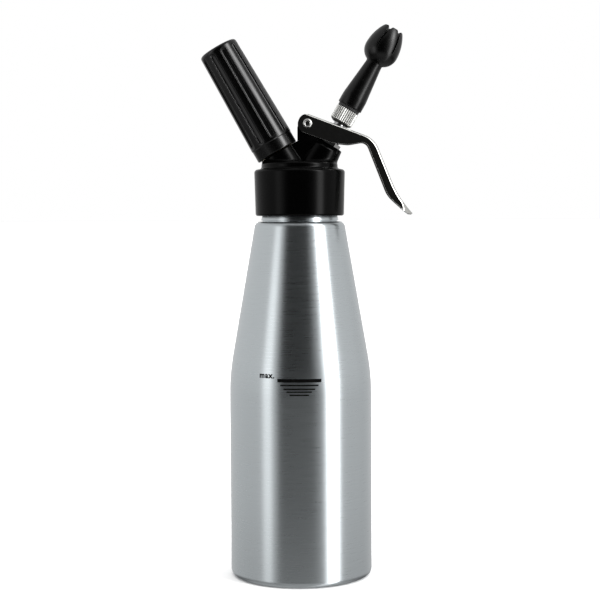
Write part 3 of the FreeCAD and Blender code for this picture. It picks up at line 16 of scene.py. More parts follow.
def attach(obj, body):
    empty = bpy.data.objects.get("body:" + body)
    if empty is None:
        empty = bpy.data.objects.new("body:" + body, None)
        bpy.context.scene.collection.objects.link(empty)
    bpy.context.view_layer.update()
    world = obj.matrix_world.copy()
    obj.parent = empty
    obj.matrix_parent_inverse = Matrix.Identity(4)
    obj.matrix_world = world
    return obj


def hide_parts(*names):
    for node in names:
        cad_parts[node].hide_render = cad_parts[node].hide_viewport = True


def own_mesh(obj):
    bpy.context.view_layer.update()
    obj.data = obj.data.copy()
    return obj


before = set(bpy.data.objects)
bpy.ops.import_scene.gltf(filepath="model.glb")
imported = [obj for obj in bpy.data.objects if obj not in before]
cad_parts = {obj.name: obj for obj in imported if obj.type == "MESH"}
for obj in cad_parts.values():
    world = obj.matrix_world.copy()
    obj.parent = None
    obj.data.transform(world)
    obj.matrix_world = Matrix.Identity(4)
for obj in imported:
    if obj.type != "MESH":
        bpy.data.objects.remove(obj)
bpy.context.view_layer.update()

logging.basicConfig(level=logging.INFO, format="%(message)s")
log = logging.getLogger("dispenser")

Piece = bpy.types.Object
Socket = bpy.types.NodeSocket
Colour = tuple[float, float, float]
Place = tuple[float, float, float]
Points = list[tuple[float, float]]
Stops = tuple[tuple[float, float], ...]


# ---- Sizes and axes ----

def mm(value: float) -> float:
    """Millimetres as metres."""
    return value / 1000.0


class Corner(NamedTuple):
    """A corner of an outline in millimetres, with the radius that rounds it."""

    across: float
    along: float
    rounding: float = 0.0


class Body(Enum):
    """The moving bodies that pieces ride on."""

    BOTTLE = "bottle"
    GASKET = "gasket"
    HEAD = "head"
    LEVER = "lever"
    VALVE = "valve"
    NOZZLE_RING = "nozzle_ring"
    NOZZLE = "nozzle"
    CHARGER = "charger"
    HOLDER = "holder"


@dataclass(frozen=True)
class Axis:
    """An axis in the XZ plane: its start in millimetres and its tilt from upright in degrees."""

    height: float
    tilt: float
    x: float = 0.0

    def matrix(self) -> Matrix:
        """Matrix from a piece drawn upright at the origin to its place on this axis."""
        place = Matrix.Translation((mm(self.x), 0.0, mm(self.height)))
        return place @ Matrix.Rotation(math.radians(self.tilt), 4, "Y")

    def direction(self) -> Vector:
        """Unit vector along the axis."""
        return (self.matrix().to_3x3() @ Vector((0.0, 0.0, 1.0))).normalized()

    def point(self, along: float) -> Vector:
        """The place at a distance in millimetres along the axis."""
        return self.matrix() @ Vector((0.0, 0.0, mm(along)))


VALVE_AXIS = Axis(255.6, 30.0)
HOLDER_AXIS = Axis(258.28, -29.8)
PIVOT_AXIS = Axis(302.507, 20.6, 5.454)


def soften(corners: Sequence[Corner], sag: float = 0.01, closed: bool = False) -> Points:
    """Turn an outline with rounded corners into a run of points.

    Args:
        corners: Corners in order.
        sag: Largest distance in millimetres between a rounding and its chords.
        closed: Whether the last corner joins the first.

    Returns:
        Points as (across, along) in millimetres.
    """
    points: Points = []
    count = len(corners)
    for i, corner in enumerate(corners):
        here = Vector((corner.across, corner.along))
        if corner.rounding <= 0.0 or (not closed and i in (0, count - 1)):
            points.append((here.x, here.y))
            continue
        back = (Vector(corners[i - 1][:2]) - here).normalized()
        ahead = (Vector(corners[(i + 1) % count][:2]) - here).normalized()
        half = back.angle(ahead) / 2.0
        middle = here + (back + ahead).normalized() * (corner.rounding / math.sin(half))
        first = here + back * (corner.rounding / math.tan(half)) - middle
        turn = math.pi - 2.0 * half
        turn = -turn if back.x * ahead.y - back.y * ahead.x > 0.0 else turn
        step = 2.0 * math.acos(max(0.99, 1.0 - sag / corner.rounding))
        steps = max(3, math.ceil(abs(turn) / step))
        for k in range(steps + 1):
            spot = middle + first @ Matrix.Rotation(-turn * k / steps, 2)
            points.append((spot.x, spot.y))
    return points


# ---- Bench work ----

def clear_selection() -> None:
    """Leave edit mode and deselect everything."""
    if bpy.context.object and bpy.context.object.mode != "OBJECT":
        bpy.ops.object.mode_set(mode="OBJECT")
    bpy.ops.object.select_all(action="DESELECT")


def pick(*pieces: Piece) -> None:
    """Select only these pieces and make the first one active."""
    clear_selection()
    for piece in pieces:
        piece.select_set(True)
    bpy.context.view_layer.objects.active = pieces[0]


def added(name: str, operator: Callable[..., set[str]], **values: object) -> Piece:
    """Call an operator that makes a piece, and give the piece its name."""
    clear_selection()
    operator(**values)
    piece = bpy.context.object
    piece.name = piece.data.name = name
    return piece


@contextmanager
def editing(piece: Piece, action: str = "SELECT") -> Iterator[None]:
    """Edit mode on one piece, with all of it selected or, with DESELECT, none of it."""
    pick(piece)
    bpy.ops.object.mode_set(mode="EDIT")
    bpy.ops.mesh.select_all(action=action)
    yield
    bpy.ops.object.mode_set(mode="OBJECT")


def modify(piece: Piece, kind: str, **values: object) -> None:
    """Add a modifier to a piece, set its values and apply it."""
    pick(piece)
    bpy.ops.object.modifier_add(type=kind)
    modifier = piece.modifiers[-1]
    for key, value in values.items():
        setattr(modifier, key, value)
    bpy.ops.object.modifier_apply(modifier=modifier.name)


def tidy_mesh(piece: Piece, gap: float = 0.01, outwards: bool = True) -> None:
    """Merge points closer than a gap in millimetres, and turn the faces outwards."""
    with editing(piece):
        bpy.ops.mesh.remove_doubles(threshold=mm(gap))
        if outwards:
            bpy.ops.mesh.normals_make_consistent(inside=False)


def smooth(piece: Piece, angle: float = 30.0) -> None:
    """Shade smooth, with creases at edges sharper than an angle in degrees."""
    pick(piece)
    bpy.ops.object.shade_smooth_by_angle(angle=math.radians(angle))


def even_normals(piece: Piece) -> None:
    """Let the broad faces set the shading at their borders, so that flats stay flat beside roundings."""
    modify(piece, "WEIGHTED_NORMAL", mode="FACE_AREA_WITH_ANGLE", weight=60, keep_sharp=True)


def reshape(piece: Piece, move: Callable[[Vector], Sequence[float]]) -> None:
    """Move each point of a piece.

    Args:
        piece: The piece, in metres.
        move: Gives a point's new place for its old one, both in millimetres.
    """
    for vertex in piece.data.vertices:
        vertex.co = [mm(value) for value in move(vertex.co * 1000.0)]


def wrapped(name: str, across: int, along: int, place: Callable[[int, int], Place]) -> Piece:
    """A grid laid over a form.

    Args:
        name: The piece's name.
        across: Number of faces in a row.
        along: Number of rows.
        place: Gives a point in millimetres for its number in the row and its row.

    Returns:
        The new piece.
    """
    piece = added(name, bpy.ops.mesh.primitive_grid_add, x_subdivisions=across, y_subdivisions=along, size=1.0)
    for vertex in piece.data.vertices:
        i, j = round((vertex.co.x + 0.5) * across), round((vertex.co.y + 0.5) * along)
        vertex.co = [mm(value) for value in place(i, j)]
    return piece


def fill_ends(piece: Piece) -> None:
    """Close the open ends of a piece."""
    with editing(piece, "DESELECT"):
        bpy.ops.mesh.select_mode(type="EDGE")
        bpy.ops.mesh.select_non_manifold()
        bpy.ops.mesh.edge_face_add()
        bpy.ops.mesh.select_mode(type="VERT")
    tidy_mesh(piece)


def joined(*pieces: Piece) -> Piece:
    """Join pieces into the first one."""
    pick(*pieces)
    bpy.ops.object.join()
    return pieces[0]


def settle(piece: Piece, axis: Axis) -> None:
    """Move a piece that was drawn upright at the origin on to its axis, with its place in its mesh."""
    pick(piece)
    piece.matrix_world = axis.matrix()
    bpy.ops.object.transform_apply(location=True, rotation=True, scale=True)


def carve(piece: Piece, cutter: Piece) -> None:
    """Cut one piece's shape out of another and remove the cutter."""
    modify(piece, "BOOLEAN", operation="DIFFERENCE", object=cutter, solver="EXACT")
    bpy.data.objects.remove(cutter)


def turned(name: str, outline: Points, segments: int, closed: bool = True, hub: float = 0.003) -> Piece:
    """Turn an outline round the Z axis: a ring of edges, extruded and resized step by step.

    Args:
        name: The piece's name.
        outline: Points as (radius, height) in millimetres.
        segments: Points round the axis.
        closed: Whether the last ring is joined to the first.
        hub: Least radius of a ring. Rings this small are merged to a point.

    Returns:
        The new piece, upright at the origin.
    """
    rings = [(max(radius, hub), height) for radius, height in outline]
    if closed:
        rings.append(rings[0])
    first_radius, first_height = rings[0]
    piece = added(name, bpy.ops.mesh.primitive_circle_add, vertices=segments, radius=mm(first_radius),
                  location=(0.0, 0.0, mm(first_height)), fill_type="NOTHING")
    bpy.ops.object.transform_apply(location=True, rotation=False, scale=False)
    with editing(piece):
        for (radius, height), (next_radius, next_height) in pairwise(rings):
            rise = (0.0, 0.0, mm(next_height - height))
            bpy.ops.mesh.extrude_edges_move(TRANSFORM_OT_translate={"value": rise})
            ratio = next_radius / radius
            centre = (0.0, 0.0, mm(next_height))
            bpy.ops.transform.resize(value=(ratio, ratio, 1.0), center_override=centre)
    tidy_mesh(piece)
    return piece


def extruded(name: str, outline: Points, width: float) -> Piece:
    """Fill an outline in the XZ plane and extrude it evenly to both sides of that plane.

    Args:
        name: The piece's name.
        outline: Points as (x, z) in millimetres.
        width: Whole width along Y in millimetres.

    Returns:
        The new piece.
    """
    piece = added(name, bpy.ops.mesh.primitive_circle_add, vertices=len(outline), radius=mm(1.0),
                  fill_type="NGON")
    for index, (x, z) in zip(piece.data.polygons[0].vertices, outline):
        piece.data.vertices[index].co = (mm(x), mm(-width / 2.0), mm(z))
    with editing(piece):
        bpy.ops.mesh.extrude_region_move(TRANSFORM_OT_translate={"value": (0.0, mm(width), 0.0)})
    tidy_mesh(piece)
    return piece


def screwed(piece: Piece, rise: float, turns: float, steps: int) -> None:
    """Sweep a section along a helix round the Z axis and close its ends.

    Args:
        piece: The section, a ring of edges.
        rise: Height that the whole helix gains in millimetres.
        turns: Number of turns.
        steps: Sections in each turn.
    """
    count = int(steps * turns)
    modify(piece, "SCREW", angle=2.0 * math.pi * turns, screw_offset=mm(rise), steps=count,
           render_steps=count, use_merge_vertices=False, use_smooth_shade=False)
    fill_ends(piece)


@dataclass(frozen=True)
class Thread:
    """A helical ridge on a round wall. Sizes in millimetres. The depth is below zero inside a bore."""

    name: str
    depth: float
    start: float
    pitch: float
    turns: float
    foot_width: float
    crest_width: float
    sink: float = 0.1
    steps: int = 64

    def build(self, wall: float) -> Piece:
        """Sweep the ridge's section along its helix.

        Args:
            wall: Radius of the wall, in which the ridge's foot is sunk a little.

        Returns:
            The ridge, upright at the origin.
        """
        piece = added(self.name, bpy.ops.mesh.primitive_plane_add, size=mm(1.0))
        root, crest = wall - math.copysign(self.sink, self.depth), wall + self.depth
        foot, top = self.foot_width / 2.0, self.crest_width / 2.0
        section = [(root, -foot), (crest, -top), (crest, top), (root, foot)]
        for index, (radius, offset) in zip(piece.data.polygons[0].vertices, section):
            piece.data.vertices[index].co = (mm(radius), 0.0, mm(self.start + offset))
        with editing(piece):
            bpy.ops.mesh.delete(type="ONLY_FACE")
        screwed(piece, self.pitch * self.turns, self.turns, self.steps)
        return piece


# ---- Finishes ----

class NodeCanvas:
    """A node tree, with short calls that add nodes and join them."""

    def __init__(self, tree: bpy.types.NodeTree) -> None:
        """Empty the tree."""
        self.tree = tree
        tree.nodes.clear()

    def node(self, kind: str, inputs: dict[int | str, object] | None = None, **values: object) -> bpy.types.Node:
        """Add a node.

        Args:
            kind: The node's type.
            inputs: A socket to join to each input, or the input's own value.
            values: The node's properties.

        Returns:
            The new node.
        """
        made = self.tree.nodes.new(kind)
        for key, value in values.items():
            setattr(made, key, value)
        for key, value in (inputs or {}).items():
            if isinstance(value, Socket):
                self.tree.links.new(value, made.inputs[key])
            else:
                made.inputs[key].default_value = value
        return made

    def math(self, kind: str, *values: Socket | float) -> Socket:
        """Work out a value from others."""
        return self.node("ShaderNodeMath", dict(enumerate(values)), operation=kind).outputs[0]


class MaterialCanvas(NodeCanvas):
    """A material's node tree, round one Principled shader."""

    def __init__(self, name: str) -> None:
        """Start a node material."""
        self.material = bpy.data.materials.new(name)
        self.material.use_nodes = True
        super().__init__(self.material.node_tree)
        self.shader = self.node("ShaderNodeBsdfPrincipled")
        self.node("ShaderNodeOutputMaterial", {"Surface": self.shader.outputs["BSDF"]})
        self.place = self.node("ShaderNodeTexCoord").outputs["Object"]

    def set(self, **sockets: float) -> None:
        """Set the shader's own sockets. An underscore stands for a space."""
        for key, value in sockets.items():
            self.shader.inputs[key.replace("_", " ")].default_value = value

    def noise(self, scale: float, stretch: Place = (1.0, 1.0, 1.0), turn: float = 0.0,
              detail: float = 3.0) -> Socket:
        """A noise value on the piece's own coordinates, turned about Y and stretched."""
        mapping = self.node("ShaderNodeMapping",
                            {"Vector": self.place, "Rotation": (0.0, math.radians(turn), 0.0)})
        stretched = self.node("ShaderNodeVectorMath", {0: mapping.outputs["Vector"], 1: stretch},
                              operation="MULTIPLY")
        return self.node("ShaderNodeTexNoise", {
            "Vector": stretched.outputs["Vector"], "Scale": scale, "Detail": detail}).outputs["Fac"]

    def tint(self, value: Socket, dark: Colour, light: Colour) -> None:
        """Colour the shader between two colours, by a value from 0.3 to 0.7."""
        ramp = self.node("ShaderNodeValToRGB", {"Fac": value})
        for element, position, colour in zip(ramp.color_ramp.elements, (0.3, 0.7), (dark, light)):
            element.position = position
            element.color = (*colour, 1.0)
        self.tree.links.new(ramp.outputs["Color"], self.shader.inputs["Base Color"])

    def gloss(self, value: Socket, smoothest: float, roughest: float) -> None:
        """Set the shader's roughness between two limits, by a value from 0.3 to 0.7."""
        spread = self.node("ShaderNodeMapRange", {
            "Value": value, "From Min": 0.3, "From Max": 0.7, "To Min": smoothest, "To Max": roughest})
        self.tree.links.new(spread.outputs["Result"], self.shader.inputs["Roughness"])

    def bump(self, value: Socket, depth: float, strength: float) -> None:
        """Raise the surface by a value, with a depth in millimetres."""
        bump = self.node("ShaderNodeBump", {"Height": value, "Distance": mm(depth), "Strength": strength})
        self.tree.links.new(bump.outputs["Normal"], self.shader.inputs["Normal"])


@dataclass(frozen=True)
class Finish:
    """A finish: its name, its colours and its roughness, each between two limits."""

    name: str
    dark: Colour
    light: Colour
    smoothest: float
    roughest: float

    @cache
    def material(self) -> bpy.types.Material:
        """The finish's material, which is made once."""
        canvas = MaterialCanvas(self.name)
        tone, gloss = self.pattern(canvas)
        canvas.tint(tone, self.dark, self.light)
        canvas.gloss(gloss, self.smoothest, self.roughest)
        return canvas.material

    def pattern(self, canvas: MaterialCanvas) -> tuple[Socket, Socket]:
        """Add the finish's own nodes.

        Args:
            canvas: The material's node tree.

        Returns:
            The values that the tone and the gloss follow.
        """
        raise NotImplementedError


@dataclass(frozen=True)
class BrushedShell(Finish):
    """Aluminium with fine lines brushed round an axis."""

    anisotropy: float = 0.8
    line_pitch: float = 0.45
    line_depth: float = 0.0018
    cloud_share: float = 0.3
    tilt: float = 0.0

    def pattern(self, canvas: MaterialCanvas) -> tuple[Socket, Socket]:
        """Fine rings of uneven grey, a soft cloud over them, and a highlight drawn out along the axis."""
        fine = canvas.noise(1.0, (70.0, 70.0, 1000.0 / self.line_pitch), self.tilt)
        cloud = canvas.noise(22.0, (1.0, 1.0, 0.35), self.tilt)
        tone = canvas.math("MULTIPLY_ADD", fine, 1.0 - self.cloud_share,
                           canvas.math("MULTIPLY", cloud, self.cloud_share))
        canvas.bump(fine, self.line_depth, 0.6)
        canvas.set(Metallic=1.0, Anisotropic=self.anisotropy, Anisotropic_Rotation=0.25)
        return tone, tone


@dataclass(frozen=True)
class SatinCoat(Finish):
    """Black coating with a very fine grain. The grain's size and depth are in millimetres."""

    depth: float
    shine: float
    grain: float = 0.3

    def pattern(self, canvas: MaterialCanvas) -> tuple[Socket, Socket]:
        """Fine grain, and faint handling marks that change the gloss."""
        marks = canvas.noise(35.0, detail=4.0)
        canvas.bump(canvas.noise(1000.0 / self.grain, detail=2.0), self.depth, 0.5)
        canvas.set(Metallic=0.0, Specular_IOR_Level=self.shine, IOR=1.48)
        return marks, marks


@dataclass(frozen=True)
class PolishedMetal(Finish):
    """Polished or plated metal with faint drawn lines."""

    tilt: float = 0.0

    def pattern(self, canvas: MaterialCanvas) -> tuple[Socket, Socket]:
        """Faint long lines in tone and gloss over a clean metal."""
        lines = canvas.noise(260.0, (1.0, 8.0, 1.0), self.tilt, 4.0)
        canvas.set(Metallic=1.0)
        return lines, lines


@dataclass(frozen=True)
class GrooveShadedPlate(Finish):
    """Plated metal with painted shade in the grooves of a knurl round an axis: its colour is dark at the grooves'
    foot.
    """

    axis: Axis = VALVE_AXIS
    # Radii where the painted groove shade is darkest and where the plate's own colour begins.
    valley: float = 7.2
    ridge: float = 7.75

    def pattern(self, canvas: MaterialCanvas) -> tuple[Socket, Socket]:
        """Tone by the distance from the axis: painted shade, dark at the foot of the grooves, and the plate's own
        colour on the ridges.
        """
        turn = math.radians(-self.axis.tilt)
        shift = -(Matrix.Rotation(turn, 3, "Y") @ self.axis.point(0.0))
        mapping = canvas.node("ShaderNodeMapping", {
            "Vector": canvas.place, "Rotation": (0.0, turn, 0.0), "Location": shift})
        flat = canvas.node("ShaderNodeVectorMath", {0: mapping.outputs["Vector"], 1: (1.0, 1.0, 0.0)},
                           operation="MULTIPLY")
        length = canvas.node("ShaderNodeVectorMath", {0: flat.outputs["Vector"]}, operation="LENGTH")
        height = canvas.node("ShaderNodeMapRange", {
            "Value": length.outputs["Value"], "From Min": mm(self.valley), "From Max": mm(self.ridge)})
        canvas.set(Metallic=0.6)
        return height.outputs["Result"], canvas.noise(400.0)


@dataclass(frozen=True)
class SoftRubber(Finish):
    """Dull moulded rubber."""

    def pattern(self, canvas: MaterialCanvas) -> tuple[Socket, Socket]:
        """A dusty bloom and a fine moulded grain."""
        bloom = canvas.noise(90.0, detail=5.0)
        canvas.bump(canvas.noise(2500.0, detail=1.0), 0.01, 0.4)
        canvas.set(Metallic=0.0, Sheen_Weight=0.08)
        return bloom, bloom


@dataclass(frozen=True)
class PrintedInk(Finish):
    """Screen printed ink."""

    def pattern(self, canvas: MaterialCanvas) -> tuple[Socket, Socket]:
        """Nearly even black with slight wear in its gloss."""
        wear = canvas.noise(400.0)
        canvas.set(Specular_IOR_Level=0.06)
        return wear, wear


def grey(value: float) -> Colour:
    """An even grey."""
    return value, value, value


SHELL = BrushedShell("brushed_shell", (0.58, 0.622, 0.642), (0.63, 0.675, 0.695), 0.26, 0.32)
ZINC = BrushedShell("zinc_plate", (0.52, 0.53, 0.55), (0.62, 0.63, 0.65), 0.28, 0.38, tilt=29.8)
BLACK_METAL = SatinCoat("black_coated_metal", grey(0.0003), grey(0.0006), 0.19, 0.23, depth=0.003, shine=0.09)
BLACK_GRIP = SatinCoat("black_coated_grip", grey(0.0003), grey(0.0007), 0.20, 0.26, depth=0.008, shine=0.5)
BLACK_PLASTIC = SatinCoat("black_plastic", grey(0.0003), grey(0.0008), 0.26, 0.32, depth=0.004, shine=0.40,
                          grain=0.2)
POLISHED = PolishedMetal("polished_sheet", (0.60, 0.60, 0.575), (0.66, 0.66, 0.635), 0.08, 0.13, tilt=20.6)
PLATED = PolishedMetal("plated_metal", (0.86, 0.86, 0.84), (0.93, 0.93, 0.91), 0.10, 0.16, tilt=-30.0)
STEEL = PolishedMetal("turned_steel", (0.55, 0.55, 0.56), (0.66, 0.66, 0.67), 0.22, 0.32)
BRASS = PolishedMetal("turned_brass", (0.60, 0.43, 0.18), (0.74, 0.56, 0.28), 0.2, 0.3, tilt=29.8)
# Its dark colour is painted shade in the knurl's grooves.
KNURL_GROOVE_SHADE = GrooveShadedPlate("knurled_metal_groove_shade", (0.03, 0.03, 0.028), (0.90, 0.90, 0.87), 0.22, 0.30)
RUBBER = SoftRubber("black_rubber", grey(0.010), grey(0.020), 0.55, 0.7)
PALE_RUBBER = SoftRubber("pale_rubber", (0.55, 0.54, 0.51), (0.66, 0.65, 0.62), 0.5, 0.65)
INK = PrintedInk("printed_ink", grey(0.001), grey(0.002), 0.5, 0.6)


def dress(piece: Piece, finish: Finish, body: Body, node: str, replaces: bool = True) -> None:
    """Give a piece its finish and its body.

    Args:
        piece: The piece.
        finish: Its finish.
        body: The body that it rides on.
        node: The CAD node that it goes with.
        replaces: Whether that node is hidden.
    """
    piece.data.materials.clear()
    piece.data.materials.append(finish.material())
    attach(piece, body.value)
    if replaces:
        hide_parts(node)
    log.info("%s: %d faces on %s", piece.name, len(piece.data.polygons), body.value)


def skin(node: str, finish: Finish, body: Body, angle: float = 28.0) -> None:
    """Replace a CAD node by a merged copy of it, shaded smooth and dressed."""
    pick(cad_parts[node])
    bpy.ops.object.duplicate(linked=False)
    piece = bpy.context.object
    piece.name = piece.data.name = f"{node}_skin"
    piece.data.materials.clear()
    tidy_mesh(piece, 0.002, outwards=False)
    smooth(piece, angle)
    even_normals(piece)
    dress(piece, finish, body, node)


# ---- Bottle ----

@dataclass
class Bottle:
    """Brushed bottle with its neck thread and fill mark. Sizes in millimetres."""

    radius: float = 47.5
    wall: float = 1.6
    base_thickness: float = 2.4
    base_edge: float = 4.0
    bend_height: float = 135.4
    bend_radius: float = 150.0
    cone_slope: float = 9.86
    shoulder_height: float = 237.6
    shoulder_radius: float = 4.0
    # The section from the groove on the shoulder over the ring, the neck and the rim to the inside's top.
    neck: tuple[Corner, ...] = (
        Corner(25.0, 237.6, 0.1), Corner(25.0, 238.4, 0.1), Corner(25.9, 238.4, 0.1), Corner(24.9, 242.4, 0.2),
        Corner(24.4, 242.9), Corner(24.4, 262.0, 0.5), Corner(21.6, 262.0, 0.5), Corner(21.6, 235.04, 2.0))
    neck_radius: float = 24.4
    thread: Thread = Thread(
        "neck_thread", depth=1.0, start=246.3, pitch=4.0, turns=3.0, foot_width=2.2, crest_width=1.2)
    segments: int = 144
    # Extra rings of points: a radius on the base, and heights on the straight wall and the cone.
    base_ring: float = 31.5
    wall_ring: float = 60.0
    cone_ring: float = 190.0

    def cone_at(self, height: float) -> float:
        """The cone's outer radius at a height."""
        return self.radius - (height - self.bend_height) * math.tan(math.radians(self.cone_slope))

    def bend_at(self, height: float) -> float:
        """The outer radius at a height on the straight wall or in the bend above it."""
        bend_start = self.bend_height - self.bend_radius * math.tan(math.radians(self.cone_slope / 2.0))
        rise = max(0.0, height - bend_start)
        return self.radius - self.bend_radius + math.sqrt(self.bend_radius ** 2 - rise ** 2)

    def outline(self) -> Points:
        """The wall's section as (radius, height), from the base's middle outside to its middle inside."""
        cone_wall = self.wall / math.cos(math.radians(self.cone_slope))
        inside_top = self.neck[-1].along
        bend_inside = self.bend_height - self.wall * math.tan(math.radians(self.cone_slope / 2.0))
        return soften([
            Corner(0.0, 0.0), Corner(self.base_ring, 0.0), Corner(self.radius, 0.0, self.base_edge),
            Corner(self.radius, self.wall_ring), Corner(self.radius, self.bend_height, self.bend_radius),
            Corner(self.cone_at(self.cone_ring), self.cone_ring),
            Corner(self.cone_at(self.shoulder_height), self.shoulder_height, self.shoulder_radius),
            *self.neck, Corner(self.cone_at(inside_top) - cone_wall, inside_top, 2.0),
            Corner(self.radius - self.wall, bend_inside, self.bend_radius),
            Corner(self.radius - self.wall, self.base_thickness, self.base_edge - self.wall),
            Corner(0.0, self.base_thickness)])

    def build(self) -> None:
        """Build and dress the bottle."""
        shell = turned("bottle_shell", self.outline(), self.segments, closed=False)
        joined(shell, self.thread.build(self.neck_radius))
        smooth(shell, 25.0)
        dress(shell, SHELL, Body.BOTTLE, "bottle")
        FillMark().build(self)


@dataclass
class FillMark:
    """Printed fill mark: a broad bar, narrowing lines under it and the word beside it.

    Each bar is its left and right end along the wall, the height of its middle and its width.
    """

    lift: float = 0.05
    ink: float = 0.03
    bars: tuple[tuple[float, float, float, float], ...] = (
        (-15.3, 13.5, 135.7, 2.15), (-13.4, 11.6, 132.7, 0.9), (-11.2, 9.3, 130.2, 0.9),
        (-9.2, 7.2, 128.4, 0.85), (-7.2, 5.3, 126.4, 0.85))
    columns: int = 24
    rows: int = 2
    word_left: float = -28.2
    word_width: float = 10.8
    word_base: float = 136.85
    word_height: float = 2.8
    word_weight: float = 0.042
    word_spacing: float = 1.15
    letter_steps: int = 6
    letter_gap: float = 0.0001

    def build(self, bottle: Bottle) -> None:
        """Build the bars and the word as a thin skin on the bottle."""
        bars = [wrapped(f"bar_{number}", self.columns, self.rows, lambda i, j: (
            left + (right - left) * i / self.columns, 0.0, height + width * (j / self.rows - 0.5)))
            for number, (left, right, height, width) in enumerate(self.bars)]
        mark = joined(*bars, self.word())
        mark.name = mark.data.name = "fill_mark"
        with editing(mark):
            bpy.ops.mesh.normals_make_consistent(inside=False)

        def wrap(point: Vector) -> Place:
            """Lay a point of the flat mark round the bottle."""
            radius = bottle.bend_at(point.z) + self.lift
            angle = point.x / radius
            return radius * math.sin(angle), -radius * math.cos(angle), point.z

        reshape(mark, wrap)
        modify(mark, "SOLIDIFY", thickness=mm(self.ink), offset=0.0)
        tidy_mesh(mark, 0.002)
        smooth(mark)
        dress(mark, INK, Body.BOTTLE, "bottle", replaces=False)

    def word(self) -> Piece:
        """The short word as a flat mesh in the XZ plane."""
        clear_selection()
        bpy.ops.object.text_add()
        text = bpy.context.object.data
        text.body = "max."
        text.resolution_u = self.letter_steps
        text.space_character = self.word_spacing
        text.offset = self.word_weight
        bpy.ops.object.convert(target="MESH")
        word = bpy.context.object
        with editing(word):
            bpy.ops.mesh.remove_doubles(threshold=self.letter_gap)
            bpy.ops.mesh.quads_convert_to_tris()
        xs, ys = zip(*(vertex.co[:2] for vertex in word.data.vertices))
        for vertex in word.data.vertices:
            across = (vertex.co.x - min(xs)) / (max(xs) - min(xs))
            up = (vertex.co.y - min(ys)) / (max(ys) - min(ys))
            vertex.co = (mm(self.word_left + self.word_width * across), 0.0,
                         mm(self.word_base + self.word_height * up))
        return word


# ---- Head ----

@dataclass
class Head:
    """Black head with its gasket and the fittings screwed in it. Sizes in millimetres."""

    # Section of the sweep from the collar's top up to the crown.
    flare: tuple[Corner, ...] = (
        Corner(24.8, 272.2), Corner(27.5, 272.2), Corner(27.5, 272.45), Corner(25.5, 272.6, 1.7),
        Corner(25.42, 274.9), Corner(24.8, 274.9))
    segments: int = 96

    def build(self) -> None:
        """Build and dress the head's pieces."""
        skin("head", BLACK_METAL, Body.HEAD, 32.0)
        flare = turned("crown_flare", soften(self.flare, closed=True), self.segments)
        smooth(flare, 35.0)
        dress(flare, BLACK_METAL, Body.HEAD, "head", replaces=False)
        skin("head_gasket", PALE_RUBBER, Body.GASKET)
        for node, finish in (("gland_nut", PLATED), ("charger_port", BRASS), ("piercing_pin", STEEL),
                             ("charger_seal", RUBBER), ("port_seal", RUBBER), ("check_valve_sleeve", RUBBER)):
            skin(node, finish, Body.HEAD)


# ---- Lever ----

